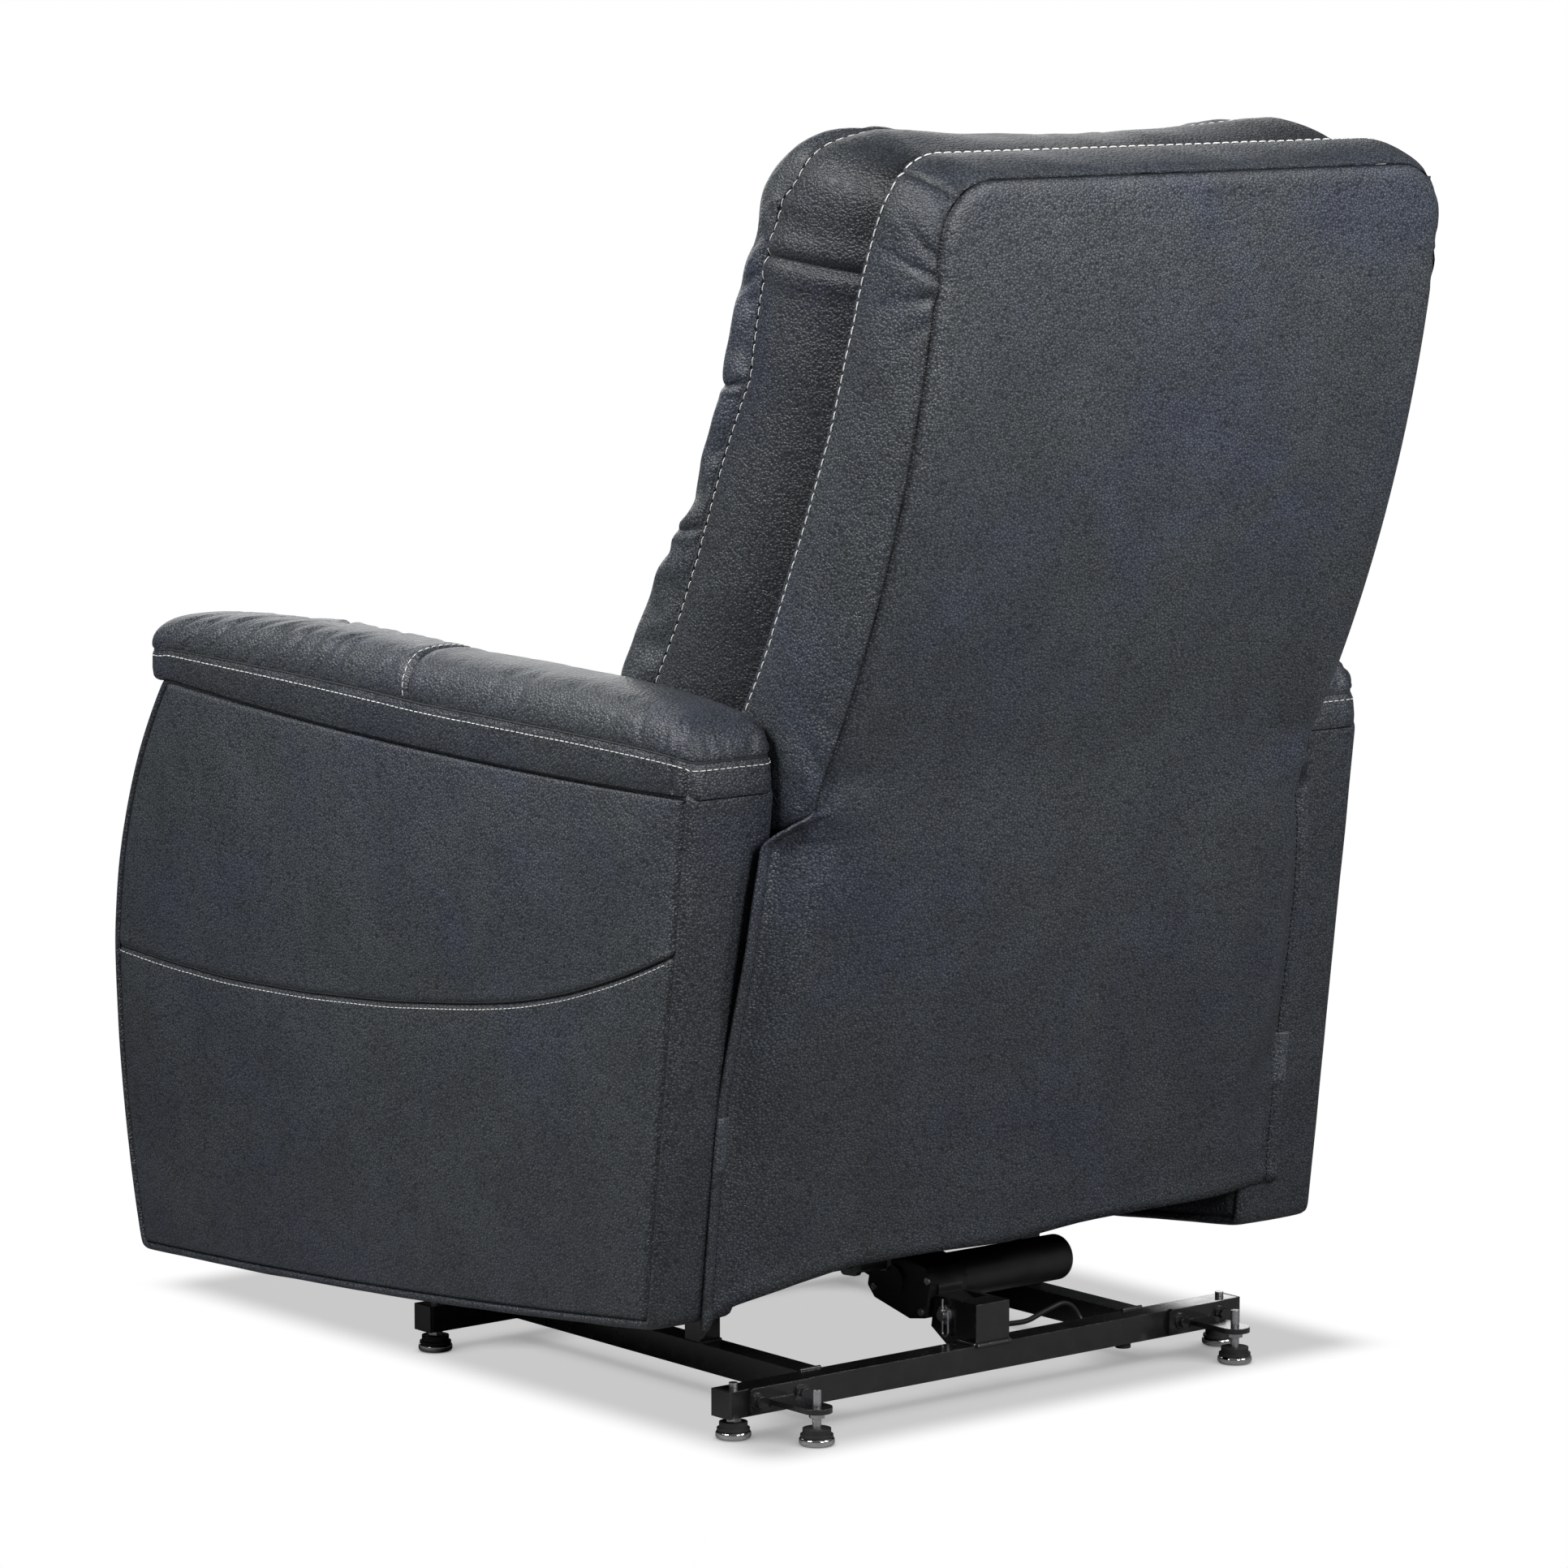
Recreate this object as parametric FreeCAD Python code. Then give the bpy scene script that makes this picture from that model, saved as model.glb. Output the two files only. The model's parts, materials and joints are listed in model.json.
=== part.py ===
import FreeCAD, Part

import math
import os
from FreeCAD import Vector

# The chair faces -Y, +X is the sitter's left and +Z is up. Lengths are millimetres and angles degrees.
# The base is drawn on the floor with Y = 0 at its rear feet. Everything the lift raises is drawn level
# and then tilted forward to the rest pose, which is the partly lifted one.

# Overall
overall_width = 800.0
tilt_at_rest = 4.2
soft_gap = 0.3
pin_clearance = 0.05

# Base frame
tube_size = 25.0
tube_wall = 2.0
floor_to_tube = 20.0
cross_tube_length = 618.0
wheelbase = 446.0
rail_offset = 195.0
foot_offset = 294.0
post_y = -168.0
post_size = 23.0
bumper_height = 10.0
landing_clearance = 1.0
plate_thickness = 5.0
end_cap_thickness = 3.0
tube_bumper_x = -172.0
tube_bumper_radius = 7.25
tube_bumper_height = 6.0

# Levelling feet
stem_radius = 4.0
foot_ring_radius = 16.0
foot_ring_height = 7.0
foot_ring_round = 2.6
foot_rubber_radius = 12.8
foot_lip_radius = 14.8
foot_lip_height = 2.4
foot_rubber_top = 14.6
stem_above_tube = 5.0
stem_nut_flats = 13.0
stem_nut_height = 4.8

# Anti-tip brackets behind the rear tube
antitip_plate_inner = 215.0
antitip_plate_outer = 288.0
antitip_plate_height = 24.0
antitip_foot_x = 252.5
antitip_foot_y = 66.0
antitip_arm_width = 28.0
antitip_arm_z = 29.0
antitip_stud_above = 15.5
bolt_x_inner = 229.5
bolt_x_outer = 280.0
bolt_z = 34.0
bolt_radius = 3.0
bolt_flange_radius = 8.0
bolt_head_flats = 10.0
bolt_head_height = 5.0

# Lift linkage, in the floor frame at rest
lift_pivot = Vector(0, -400, 80)
lift_link_length = 250.0
lift_link_angle = 8.0
lift_tilt_ratio = 0.385
guide_pivot = Vector(0, -445, 60)
guide_carriage_pin = Vector(0, -266, 78)
link_thickness = 6.0
link_half_height = 11.0
link_gap = 1.5
guide_gap = 3.5
guide_pin_clearance = 0.6
link_pin_radius = 6.0
torque_tube_radius = 11.0
lever_arm = Vector(0, 10, 70)
lever_half_gap = 14.0
lever_plate = 6.0
lever_half_width = 17.0
lever_slot_half_length = 12.5
lever_slot_half_width = 7.5

# Lift actuator
bracket_half_width = 20.0
bracket_height = 38.0
clevis_wall = 5.0
clevis_reach = 43.0
clevis_pin = Vector(0, -30, 67)
clevis_pin_radius = 5.0
clip_wire_radius = 1.1
gearbox_half_width = 14.5
motor_radius = 21.5
lift_motor_end = 159.0
recline_motor_end = 108.0
outer_tube_radius = 16.0
rod_clearance = 0.3
rod_radius = 10.0
rod_eye_radius = 14.0
rod_pin_radius = 5.0

# Carriage, in the level frame
carriage_rail_z = 200.0
carriage_front_y = -600.0
flange_thickness = 3.0
flange_margin = 14.0
control_inner_x = 45.0
control_rear_y = -350.0
control_height = 34.0
carriage_rear_y = -10.0
front_rail_y = -587.5
rear_rail_y = -97.5
cross_rail_reach = 302.7
recline_x = 62.0
recline_pin_y = -85.0
recline_pin_z = 120.0
recline_eye_distance = 345.0
glide_angle = 8.0

# Arms, in the level frame
arm_inner_x = 303.0
arm_outer_x = 398.0
arm_bottom_z = 113.0
arm_rear_y = 21.0
arm_front_y = -806.0
arm_rear_height = 473.0
arm_front_height = 559.0
arm_rake = 11.1
arm_top_setback = 116.0
arm_foot_setback = 21.0
arm_top_sag = 9.0
cover_wall = 6.0
panel_inner = 12.0
panel_outer = 6.0
arm_post_depth = 40.0
pad_front_reach = 55.0
pad_rear_reach = 2.0
pad_inner_reach = 2.0
pad_height = 73.0

# Back, in the level frame
back_half_width = 296.0
back_corner_radius = 42.0
shell_wall = 6.0
shell_bottom_z = 598.0
back_pivot = Vector(0, 5, 345)
stile_width = 28.0
stile_depth = 34.0
lever_length = 122.0
recline_travel = 35.0
yoke_thickness = 10.0
yoke_clearance = 0.8
ear_thickness = 6.0
shell_inset = 7.0
gusset_setback = 2.0
cushion_half_width = 292.0

# Skirt behind the chair
skirt_thickness = 3.6
tab_z = 250.0

# Seat, in the level frame
seat_half_width = 298.0
seat_rear_y = -197.0
seat_front_y = -790.0
seat_rail_z = 365.0
seat_rail_height = 27.0
seat_rail_width = 25.0
seat_rail_outer = 283.0
webbing_thickness = 2.4
webbing_width = 50.0
webbing_count = 5
seat_height = 540.0
seat_crown = 14.0
drive_tube_radius = 11.0

# Footrest, in the level frame
footrest_pivot = Vector(0, -640, 335)
footrest_link_length = 190.0
footrest_stow_angle = 80.0
footrest_bar = 5.0
footrest_pin_radius = 5.0
footrest_link_x = 238.0
ottoman_bottom_z = 150.0
ottoman_top_z = 412.0
ottoman_board = 15.0
ottoman_board_gap = 24.0
ottoman_depth = 54.0
ottoman_half_width = 294.0

# Handset in a recess of the right arm
handset_y = -520.0
handset_z = 470.0
handset_width = 62.0
handset_height = 130.0
handset_depth = 20.0
cradle_wall = 3.0
button_radius = 9.0
button_proud = 2.0
button_travel = 1.5
button_well = 5.0
button_pitch_y = 26.0
button_pitch_z = 30.0

# Power lead, from the gland on the actuator bracket to the grommet in the rear tube
lead_radius = 2.5
gland_radius = 5.0
grommet_radius = 6.0
grommet_length = 4.5
lead_route = [
    Vector(-34, -30, 48),
    Vector(-50, -30, 48),
    Vector(-68, -33, 46),
    Vector(-86, -36, 45),
    Vector(-104, -41, 48),
    Vector(-122, -44, 51),
    Vector(-139, -46, 54),
    Vector(-152, -46, 47),
    Vector(-158, -42, 33),
    Vector(-160, -30, 25),
    Vector(-160, -17, 25),
]

nodes = {}


# Drawing helpers


def box(x0, x1, y0, y1, z0, z1):
    return Part.makeBox(x1 - x0, y1 - y0, z1 - z0, Vector(x0, y0, z0))


def cylinder(start, end, radius):
    along = end - start
    return Part.makeCylinder(radius, along.Length, start, along)


def cross_cylinder(centre, x0, x1, radius):
    return cylinder(Vector(x0, centre.y, centre.z), Vector(x1, centre.y, centre.z), radius)


def square_tube_x(x0, x1, y, z0):
    half = tube_size / 2
    inside = half - tube_wall
    outer = box(x0, x1, y - half, y + half, z0, z0 + tube_size)
    bore = box(x0 - 1, x1 + 1, y - inside, y + inside, z0 + tube_wall, z0 + tube_size - tube_wall)
    return outer.cut(bore)


def square_tube_y(x, y0, y1, z0):
    half = tube_size / 2
    inside = half - tube_wall
    outer = box(x - half, x + half, y0, y1, z0, z0 + tube_size)
    bore = box(x - inside, x + inside, y0 - 1, y1 + 1, z0 + tube_wall, z0 + tube_size - tube_wall)
    return outer.cut(bore)


def rounded_wire(points, radius):
    """A closed wire through coplanar points, each corner an arc of the radius."""
    edges = []
    ends = []
    count = len(points)
    for i in range(count):
        corner = points[i]
        before = (points[i - 1] - corner).normalize()
        after = (points[(i + 1) % count] - corner).normalize()
        half_angle = before.getAngle(after) / 2
        reach = radius / math.tan(half_angle)
        middle = (before + after).normalize()
        centre = corner + middle * (radius / math.sin(half_angle))
        start = corner + before * reach
        end = corner + after * reach
        edges.append(Part.Arc(start, centre - middle * radius, end).toShape())
        ends.append((start, end))
    for i in range(count):
        edges.append(Part.makeLine(ends[i - 1][1], ends[i][0]))
    return Part.Wire(Part.__sortEdges__(edges))


def plate(points, radius, x0, x1):
    """A flat plate whose outline is given by (y, z) pairs, from x0 to x1."""
    wire = rounded_wire([Vector(x0, y, z) for y, z in points], radius)
    return Part.Face(wire).extrude(Vector(x1 - x0, 0, 0))


def profile(x, start, steps):
    """A closed face in a YZ plane. A step is the (y, z) end of a line, or the middle and end of an arc."""
    here = Vector(x, start[0], start[1])
    first = here
    edges = []
    for step in steps:
        end = Vector(x, step[-1][0], step[-1][1])
        if len(step) == 1:
            edges.append(Part.makeLine(here, end))
        else:
            edges.append(Part.Arc(here, Vector(x, step[0][0], step[0][1]), end).toShape())
        here = end
    if here.distanceToPoint(first) > 0.001:
        edges.append(Part.makeLine(here, first))
    return Part.Face(Part.Wire(edges))


def link_bar(a, b, half_height, x0, x1):
    """A flat link with round ends about the points a and b."""
    along = (b - a).normalize()
    side = Vector(0, -along.z, along.y) * half_height
    nose = along * half_height
    a0 = Vector(x0, a.y, a.z)
    b0 = Vector(x0, b.y, b.z)
    edges = [
        Part.makeLine(a0 + side, b0 + side),
        Part.Arc(b0 + side, b0 + nose, b0 - side).toShape(),
        Part.makeLine(b0 - side, a0 - side),
        Part.Arc(a0 - side, a0 - nose, a0 + side).toShape(),
    ]
    return Part.Face(Part.Wire(edges)).extrude(Vector(x1 - x0, 0, 0))


def drill(shape, centre, x0, x1, radius):
    return shape.cut(cross_cylinder(centre, x0 - 1, x1 + 1, radius))


def mirrored(shape):
    return shape.mirror(Vector(0, 0, 0), Vector(1, 0, 0))


def tilted(shape):
    """From the level frame of the carriage to the floor frame at rest."""
    turned = shape.copy()
    turned.rotate(Vector(0, 0, 0), Vector(1, 0, 0), tilt_at_rest)
    return turned


def to_level(point):
    """A point of the floor frame at rest, in the level frame."""
    angle = math.radians(tilt_at_rest)
    y = point.y * math.cos(angle) + point.z * math.sin(angle)
    z = point.z * math.cos(angle) - point.y * math.sin(angle)
    return Vector(point.x, y, z)


def add(name, *solids):
    nodes.setdefault(name, []).extend(solids)


def add_raised(name, *solids):
    add(name, *[tilted(s) for s in solids])


def both(*solids):
    """The left pieces as drawn, and the right ones as their mirror images."""
    return list(solids) + [mirrored(s) for s in solids]


def pillow_wire(place, half_width, base, side_top, crest, pinch, corner):
    """A cushion's section: flat base, drawn-in sides, rounded shoulders and a crowned top.
    place(u, v) gives the point across the cushion and away from its base."""
    shoulder = half_width - corner
    waist = (base + side_top) / 2
    top_edge = side_top + (crest - side_top) * 0.55
    bend = side_top + (top_edge - side_top) * 0.72
    bend_u = half_width - corner * 0.3
    edges = [Part.makeLine(place(-half_width, base), place(half_width, base))]
    arcs = [
        ((half_width, base), (half_width - pinch, waist), (half_width, side_top)),
        ((half_width, side_top), (bend_u, bend), (shoulder, top_edge)),
        ((shoulder, top_edge), (0, crest), (-shoulder, top_edge)),
        ((-shoulder, top_edge), (-bend_u, bend), (-half_width, side_top)),
        ((-half_width, side_top), (-half_width + pinch, waist), (-half_width, base)),
    ]
    for start, middle, end in arcs:
        edges.append(Part.Arc(place(*start), place(*middle), place(*end)).toShape())
    return Part.Wire(edges)


# Base


def tube_top():
    return floor_to_tube + tube_size


def foot_places():
    """Each levelling foot: its x, y and the top of its stem."""
    above = tube_top() + stem_above_tube
    stud = antitip_arm_z + plate_thickness + antitip_stud_above
    places = []
    for side in (-1, 1):
        places.append((side * foot_offset, 0.0, above))
        places.append((side * foot_offset, -wheelbase, above))
        places.append((side * antitip_foot_x, antitip_foot_y, stud))
    return places


def stem_hole(x, y):
    return cylinder(Vector(x, y, 0), Vector(x, y, 200), stem_radius + pin_clearance)


def bolt_hole(x):
    return cylinder(Vector(x, 0, bolt_z), Vector(x, 60, bolt_z), bolt_radius + pin_clearance)


def make_cross_tubes():
    half = cross_tube_length / 2 - end_cap_thickness
    rear = square_tube_x(-half, half, 0.0, floor_to_tube)
    front = square_tube_x(-half, half, -wheelbase, floor_to_tube)
    for side in (-1, 1):
        rear = rear.cut(stem_hole(side * foot_offset, 0.0))
        front = front.cut(stem_hole(side * foot_offset, -wheelbase))
        for x in (bolt_x_inner, bolt_x_outer):
            rear = rear.cut(bolt_hole(side * x))
    lead_end = lead_route[-1]
    lead_hole = cylinder(lead_end - Vector(0, 20, 0), Vector(lead_end.x, 0, lead_end.z), lead_radius)
    add("base_rear_tube", rear.cut(lead_hole))
    add("base_front_tube", front)


def make_end_caps():
    caps = []
    half = cross_tube_length / 2
    size = tube_size / 2
    for y in (0.0, -wheelbase):
        for x0 in (-half, half - end_cap_thickness):
            caps.append(box(x0, x0 + end_cap_thickness, y - size, y + size, floor_to_tube, tube_top()))
    add("tube_end_caps", *caps)


def make_rails():
    half = tube_size / 2
    rail = square_tube_y(rail_offset, -wheelbase + half, -half, floor_to_tube)
    add("base_side_frames", *both(rail))


def make_tube_bumper():
    """The round plastic foot under the rear tube."""
    top = Vector(tube_bumper_x, 0, floor_to_tube)
    add("tube_bumper", cylinder(top - Vector(0, 0, tube_bumper_height), top, tube_bumper_radius))


def landing_height():
    """Underside of the carriage's side rails when the chair is fully lowered."""
    low = lift_pivot.z + lift_link_length * math.sin(math.radians(lift_link_angle - lowering_angle()))
    return carriage_rail_z - (to_level(carriage_pin()).z - low)


def lowering_angle():
    """How far the lift link turns down from rest until the carriage is level."""
    return tilt_at_rest / lift_tilt_ratio


def carriage_pin():
    """The pin at the carriage end of the lift link, in the floor frame at rest."""
    angle = math.radians(lift_link_angle)
    return lift_pivot + Vector(0, math.cos(angle), math.sin(angle)) * lift_link_length


def make_posts():
    half = post_size / 2
    top = landing_height() - bumper_height - landing_clearance
    post = box(rail_offset - half, rail_offset + half, post_y - half, post_y + half, tube_top(), top)
    bumper = Part.makeCone(half - 1, half - 4, bumper_height, Vector(rail_offset, post_y, top))
    add("base_side_frames", *both(post))
    add("landing_bumpers", *both(bumper))


def plate_x():
    """Inner face of the pivot plates welded to the outer sides of the rails."""
    return rail_offset + tube_size / 2


def make_pivot_plates():
    x0 = plate_x()
    x1 = x0 + plate_thickness
    tube_rear = -wheelbase + tube_size / 2
    outline = [
        (guide_pivot.y - 13, tube_top() + 1),
        (tube_rear + 2, tube_top() + 1),
        (tube_rear + 2, floor_to_tube + 2),
        (lift_pivot.y + 16, floor_to_tube + 2),
        (lift_pivot.y + 16, lift_pivot.z + 14),
        (lift_pivot.y - 14, lift_pivot.z + 14),
        (guide_pivot.y - 13, guide_pivot.z + 13),
    ]
    body = plate(outline, 0.9, x0, x1)
    body = drill(body, lift_pivot, x0, x1, link_pin_radius + pin_clearance)
    guide_end = guide_link_x() + link_thickness + 3
    pin = cross_cylinder(guide_pivot, x1, guide_end, link_pin_radius)
    add("base_side_frames", *both(body.fuse(pin).removeSplitter()))


def lift_link_x():
    return plate_x() + plate_thickness + link_gap


def guide_link_x():
    return lift_link_x() + link_thickness + guide_gap


def make_actuator_bracket():
    """The block and its clevis for the lift actuator. Returns the gland that the lead comes out of."""
    half = tube_size / 2
    w = bracket_half_width
    top = tube_top() + bracket_height
    block = box(-w, w, -half, half, tube_top(), top)
    ears = [
        (-half, top),
        (-half - clevis_reach + 10, top),
        (-half - clevis_reach + 5, tube_top() + 8),
        (-half - 12, tube_top() - 8),
        (-half, tube_top() - 8),
    ]
    shape = block
    for x0 in (-w, w - clevis_wall):
        shape = shape.fuse(plate(ears, 0.5, x0, x0 + clevis_wall))
    lead_start = lead_route[0]
    gland = cylinder(lead_start, Vector(-w, lead_start.y, lead_start.z), gland_radius)
    shape = drill(shape.removeSplitter(), clevis_pin, -w, w, clevis_pin_radius + pin_clearance)
    add("actuator_bracket", shape)
    return gland


def r_clip(x, centre):
    """A spring clip of wire that hangs beside the pin: one straight leg, an eye and a bent leg."""
    wire = clip_wire_radius
    top = centre.z + 15
    low = centre.z - 15
    left = centre.y
    right = centre.y + clevis_pin_radius + 2.5
    bottom = Vector(x, (left + right) / 2, low - 4)
    path = Part.Wire(
        [
            Part.makeLine(Vector(x, left, top), Vector(x, left, low)),
            Part.Arc(Vector(x, left, low), bottom, Vector(x, right, low)).toShape(),
            Part.makeLine(Vector(x, right, low), Vector(x, right, centre.z + 6)),
        ]
    )
    start = Part.Wire(Part.makeCircle(wire, Vector(x, left, top), Vector(0, 0, -1)))
    return path.makePipeShell([start], True, True)


def make_clevis_pin():
    w = bracket_half_width
    pin = cross_cylinder(clevis_pin, -w - 4, w + 7, clevis_pin_radius)
    head = cross_cylinder(clevis_pin, -w - 7, -w - 0.2, clevis_pin_radius + 3)
    clip_x = w + 4.0
    through = Vector(clip_x, clevis_pin.y, clevis_pin.z - 9)
    clip_hole = cylinder(through, through + Vector(0, 0, 18), clip_wire_radius + pin_clearance)
    washer = cross_cylinder(clevis_pin, w + 0.2, w + 2.2, clevis_pin_radius + 4)
    washer = drill(washer, clevis_pin, w, w + 3, clevis_pin_radius + pin_clearance)
    add("clevis_pin", pin.fuse(head).removeSplitter().cut(clip_hole))
    add("clevis_clip", washer, r_clip(clip_x, clevis_pin))


def make_feet():
    stems = []
    rubbers = []
    rings = []
    for x, y, top in foot_places():
        base = Vector(x, y, 0)
        ring = Part.makeCylinder(foot_ring_radius, foot_ring_height, base)
        ring = ring.makeFillet(foot_ring_round, [e for e in ring.Edges if e.Closed])
        on_ring = base + Vector(0, 0, foot_ring_height)
        rubber = Part.makeCylinder(foot_rubber_radius, foot_rubber_top - foot_ring_height, on_ring)
        rubber = rubber.fuse(Part.makeCylinder(foot_lip_radius, foot_lip_height, on_ring)).removeSplitter()
        hole = stem_hole(x, y)
        rings.append(ring)
        rubbers.append(rubber.cut(hole))
        stem = cylinder(on_ring, Vector(x, y, top), stem_radius)
        seat = antitip_arm_z if y > 0 else floor_to_tube
        nut_base = hexagon(x, y, seat - stem_nut_height - 0.2, stem_nut_flats / 2)
        nut = Part.Face(Part.makePolygon(nut_base)).extrude(Vector(0, 0, stem_nut_height))
        stems.append(stem.fuse(nut).removeSplitter())
    add("foot_stems", *stems)
    add("foot_rubbers", *rubbers)
    add("foot_rings", *rings)


def hexagon(x, y, z, half_flats):
    corner = half_flats / math.cos(math.radians(30))
    points = []
    for i in range(7):
        angle = math.radians(60 * i)
        points.append(Vector(x + corner * math.cos(angle), y + corner * math.sin(angle), z))
    return points


def make_antitip_bracket():
    """The left bracket: a plate against the rear tube, and an arm that runs back to the foot."""
    y0 = tube_size / 2
    y1 = y0 + plate_thickness
    z0 = floor_to_tube + 2
    z1 = z0 + antitip_plate_height
    x0 = antitip_plate_inner
    x1 = antitip_plate_outer
    corners = [Vector(x0, y0, z0), Vector(x1, y0, z0), Vector(x1, y0, z1), Vector(x0, y0, z1)]
    upright = Part.Face(rounded_wire(corners, 4.0)).extrude(Vector(0, plate_thickness, 0))
    half = antitip_arm_width / 2
    foot = Vector(antitip_foot_x, antitip_foot_y, antitip_arm_z)
    arm = box(foot.x - half, foot.x + half, y1 - 1, foot.y, foot.z, foot.z + plate_thickness)
    arm = arm.fuse(Part.makeCylinder(half, plate_thickness, foot))
    body = upright.fuse(arm).removeSplitter().cut(stem_hole(foot.x, foot.y))
    for x in (bolt_x_inner, bolt_x_outer):
        body = body.cut(bolt_hole(x))
    add("antitip_bracket_left", body)
    add("antitip_bracket_right", mirrored(body))


def make_bracket_bolts():
    bolts = []
    face = tube_size / 2 + plate_thickness
    for side in (-1, 1):
        for x in (bolt_x_inner, bolt_x_outer):
            centre = Vector(side * x, face, bolt_z)
            shank = cylinder(centre - Vector(0, face - 6, 0), centre, bolt_radius)
            flange = cylinder(centre, centre + Vector(0, 1.6, 0), bolt_flange_radius)
            head = Part.Face(Part.makePolygon(hexagon(0, 0, 0, bolt_head_flats / 2)))
            head = head.extrude(Vector(0, 0, bolt_head_height))
            head.rotate(Vector(0, 0, 0), Vector(1, 0, 0), -90)
            head.translate(centre + Vector(0, 1.5, 0))
            bolts.append(shank.fuse([flange, head]).removeSplitter())
    add("bracket_bolts", *bolts)


def lead_path():
    """Straight runs joined by tangent arcs, each as large as its two runs allow."""
    edges = []
    radii = []
    here = lead_route[0]
    for i in range(1, len(lead_route) - 1):
        corner = lead_route[i]
        before = lead_route[i - 1] - corner
        after = lead_route[i + 1] - corner
        turn = math.pi - before.getAngle(after)
        reach = 0.45 * min(before.Length, after.Length)
        radii.append(reach / math.tan(turn / 2))
        start = corner + before.normalize() * reach
        end = corner + after.normalize() * reach
        middle = (before + after).normalize()
        centre_gap = math.hypot(radii[-1], reach)
        edges.append(Part.makeLine(here, start))
        edges.append(Part.Arc(start, corner + middle * (centre_gap - radii[-1]), end).toShape())
        here = end
    edges.append(Part.makeLine(here, lead_route[-1]))
    return Part.Wire(edges), radii


def make_power_lead(gland):
    path, radii = lead_path()
    heading = lead_route[1] - lead_route[0]
    ring = Part.Wire(Part.makeCircle(lead_radius, lead_route[0], heading))
    lead = path.makePipeShell([ring], True, True)
    ideal = math.pi * lead_radius**2 * path.Length
    print("power lead radii", [round(r, 1) for r in radii], "length", round(path.Length, 1))
    print("power lead volume", round(lead.Volume, 1), "section times length", round(ideal, 1))
    end = lead_route[-1]
    wall = -tube_size / 2
    on_tube = Vector(end.x, wall, end.z)
    grommet = cylinder(on_tube - Vector(0, grommet_length, 0), on_tube, grommet_radius)
    add("power_lead", lead)
    add("lead_glands", gland, grommet)


# Lift linkage


def make_lift_links():
    x0 = lift_link_x()
    x1 = x0 + link_thickness
    bar = link_bar(lift_pivot, carriage_pin(), link_half_height, x0, x1)
    bar = drill(bar, carriage_pin(), x0, x1, link_pin_radius + pin_clearance)
    stub = cross_cylinder(lift_pivot, plate_x() - 8, x1 + 2, link_pin_radius)
    add("lift_links", *both(bar.fuse(stub).removeSplitter()))
    end = plate_x() - 8
    tube = cross_cylinder(lift_pivot, -end, end, torque_tube_radius)
    tip = lift_pivot + lever_arm
    along = Vector(lever_arm).normalize()
    levers = []
    for side in (-1, 1):
        low = lever_half_gap if side > 0 else -lever_half_gap - lever_plate
        lever = link_bar(lift_pivot, tip + along * 7.0, lever_half_width, low, low + lever_plate)
        reach = along * (lever_slot_half_length - lever_slot_half_width)
        slot = link_bar(tip - reach, tip + reach, lever_slot_half_width, low - 1, low + lever_plate + 1)
        lever = lever.cut(slot)
        lever = drill(lever, lift_pivot, low, low + lever_plate, torque_tube_radius)
        levers.append(lever)
    add("lift_torque_tube", tube, *levers)


def make_guide_links():
    x0 = guide_link_x()
    x1 = x0 + link_thickness
    bar = link_bar(guide_pivot, guide_carriage_pin, link_half_height - 1, x0, x1)
    bar = drill(bar, guide_pivot, x0, x1, link_pin_radius + pin_clearance)
    bar = drill(bar, guide_carriage_pin, x0, x1, link_pin_radius + guide_pin_clearance)
    add("guide_links", *both(bar))


# Actuators


def actuator_parts(eye_distance, side, motor_end):
    """An actuator along -Y from its clevis pin at the origin. Its motor lies along X, on the given side.
    Returns the housing, the screws, the motor, the outer tube, the rod and its eye."""
    w = gearbox_half_width
    rear_eye = link_bar(Vector(0, 0, 0), Vector(0, -34, 2), 11.0, -w, w)
    rear_eye = drill(rear_eye, Vector(0, 0, 0), -w, w, clevis_pin_radius + pin_clearance)
    case = plate(
        [(-20, -12), (-44, -22), (-96, -22), (-108, -14), (-108, 24), (-96, 32), (-34, 32), (-20, 18)],
        4.0,
        -w - 8,
        w + 8,
    )
    case = case.cut(box(-w - 10, -w, -24, 1, -30, 40))
    case = case.cut(box(w, w + 10, -24, 1, -30, 40))
    boss = cross_cylinder(Vector(0, -72, 6), -side * (w + 8), -side * (w + 12), 14.0)
    housing = rear_eye.fuse([case, boss]).removeSplitter()
    end = side * (w + 8)
    motor_centre = Vector(0, -46, 14)
    motor = cross_cylinder(motor_centre, end, side * motor_end, motor_radius)
    rim = [e for e in motor.Edges if abs(e.CenterOfMass.x - side * motor_end) < 0.01]
    motor = motor.makeFillet(9.0, rim)
    tube_end = eye_distance - 78
    hollow = cylinder(Vector(0, -108, 0), Vector(0, -tube_end, 0), outer_tube_radius)
    bore = cylinder(Vector(0, -116, 0), Vector(0, -tube_end - 1, 0), rod_radius + rod_clearance)
    outer = hollow.cut(bore)
    rod = cylinder(Vector(0, -150, 0), Vector(0, -eye_distance + 8, 0), rod_radius)
    eye = cross_cylinder(Vector(0, -eye_distance, 0), -11.0, 11.0, rod_eye_radius)
    screws = []
    face = -side * (w + 8)
    for y, z in ((-28, 22), (-30, -10), (-96, 24), (-98, -12)):
        centre = Vector(0, y, z)
        screws.append(cross_cylinder(centre, face, face - side * 1.8, 3.4))
    return housing, screws, motor, outer, rod, eye


def along_actuator(shape, pin, angle):
    """Turns an actuator part so that it runs forward and up at the angle, from its clevis pin."""
    placed = shape.copy()
    placed.rotate(Vector(0, 0, 0), Vector(1, 0, 0), -angle)
    placed.translate(pin)
    return placed


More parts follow.
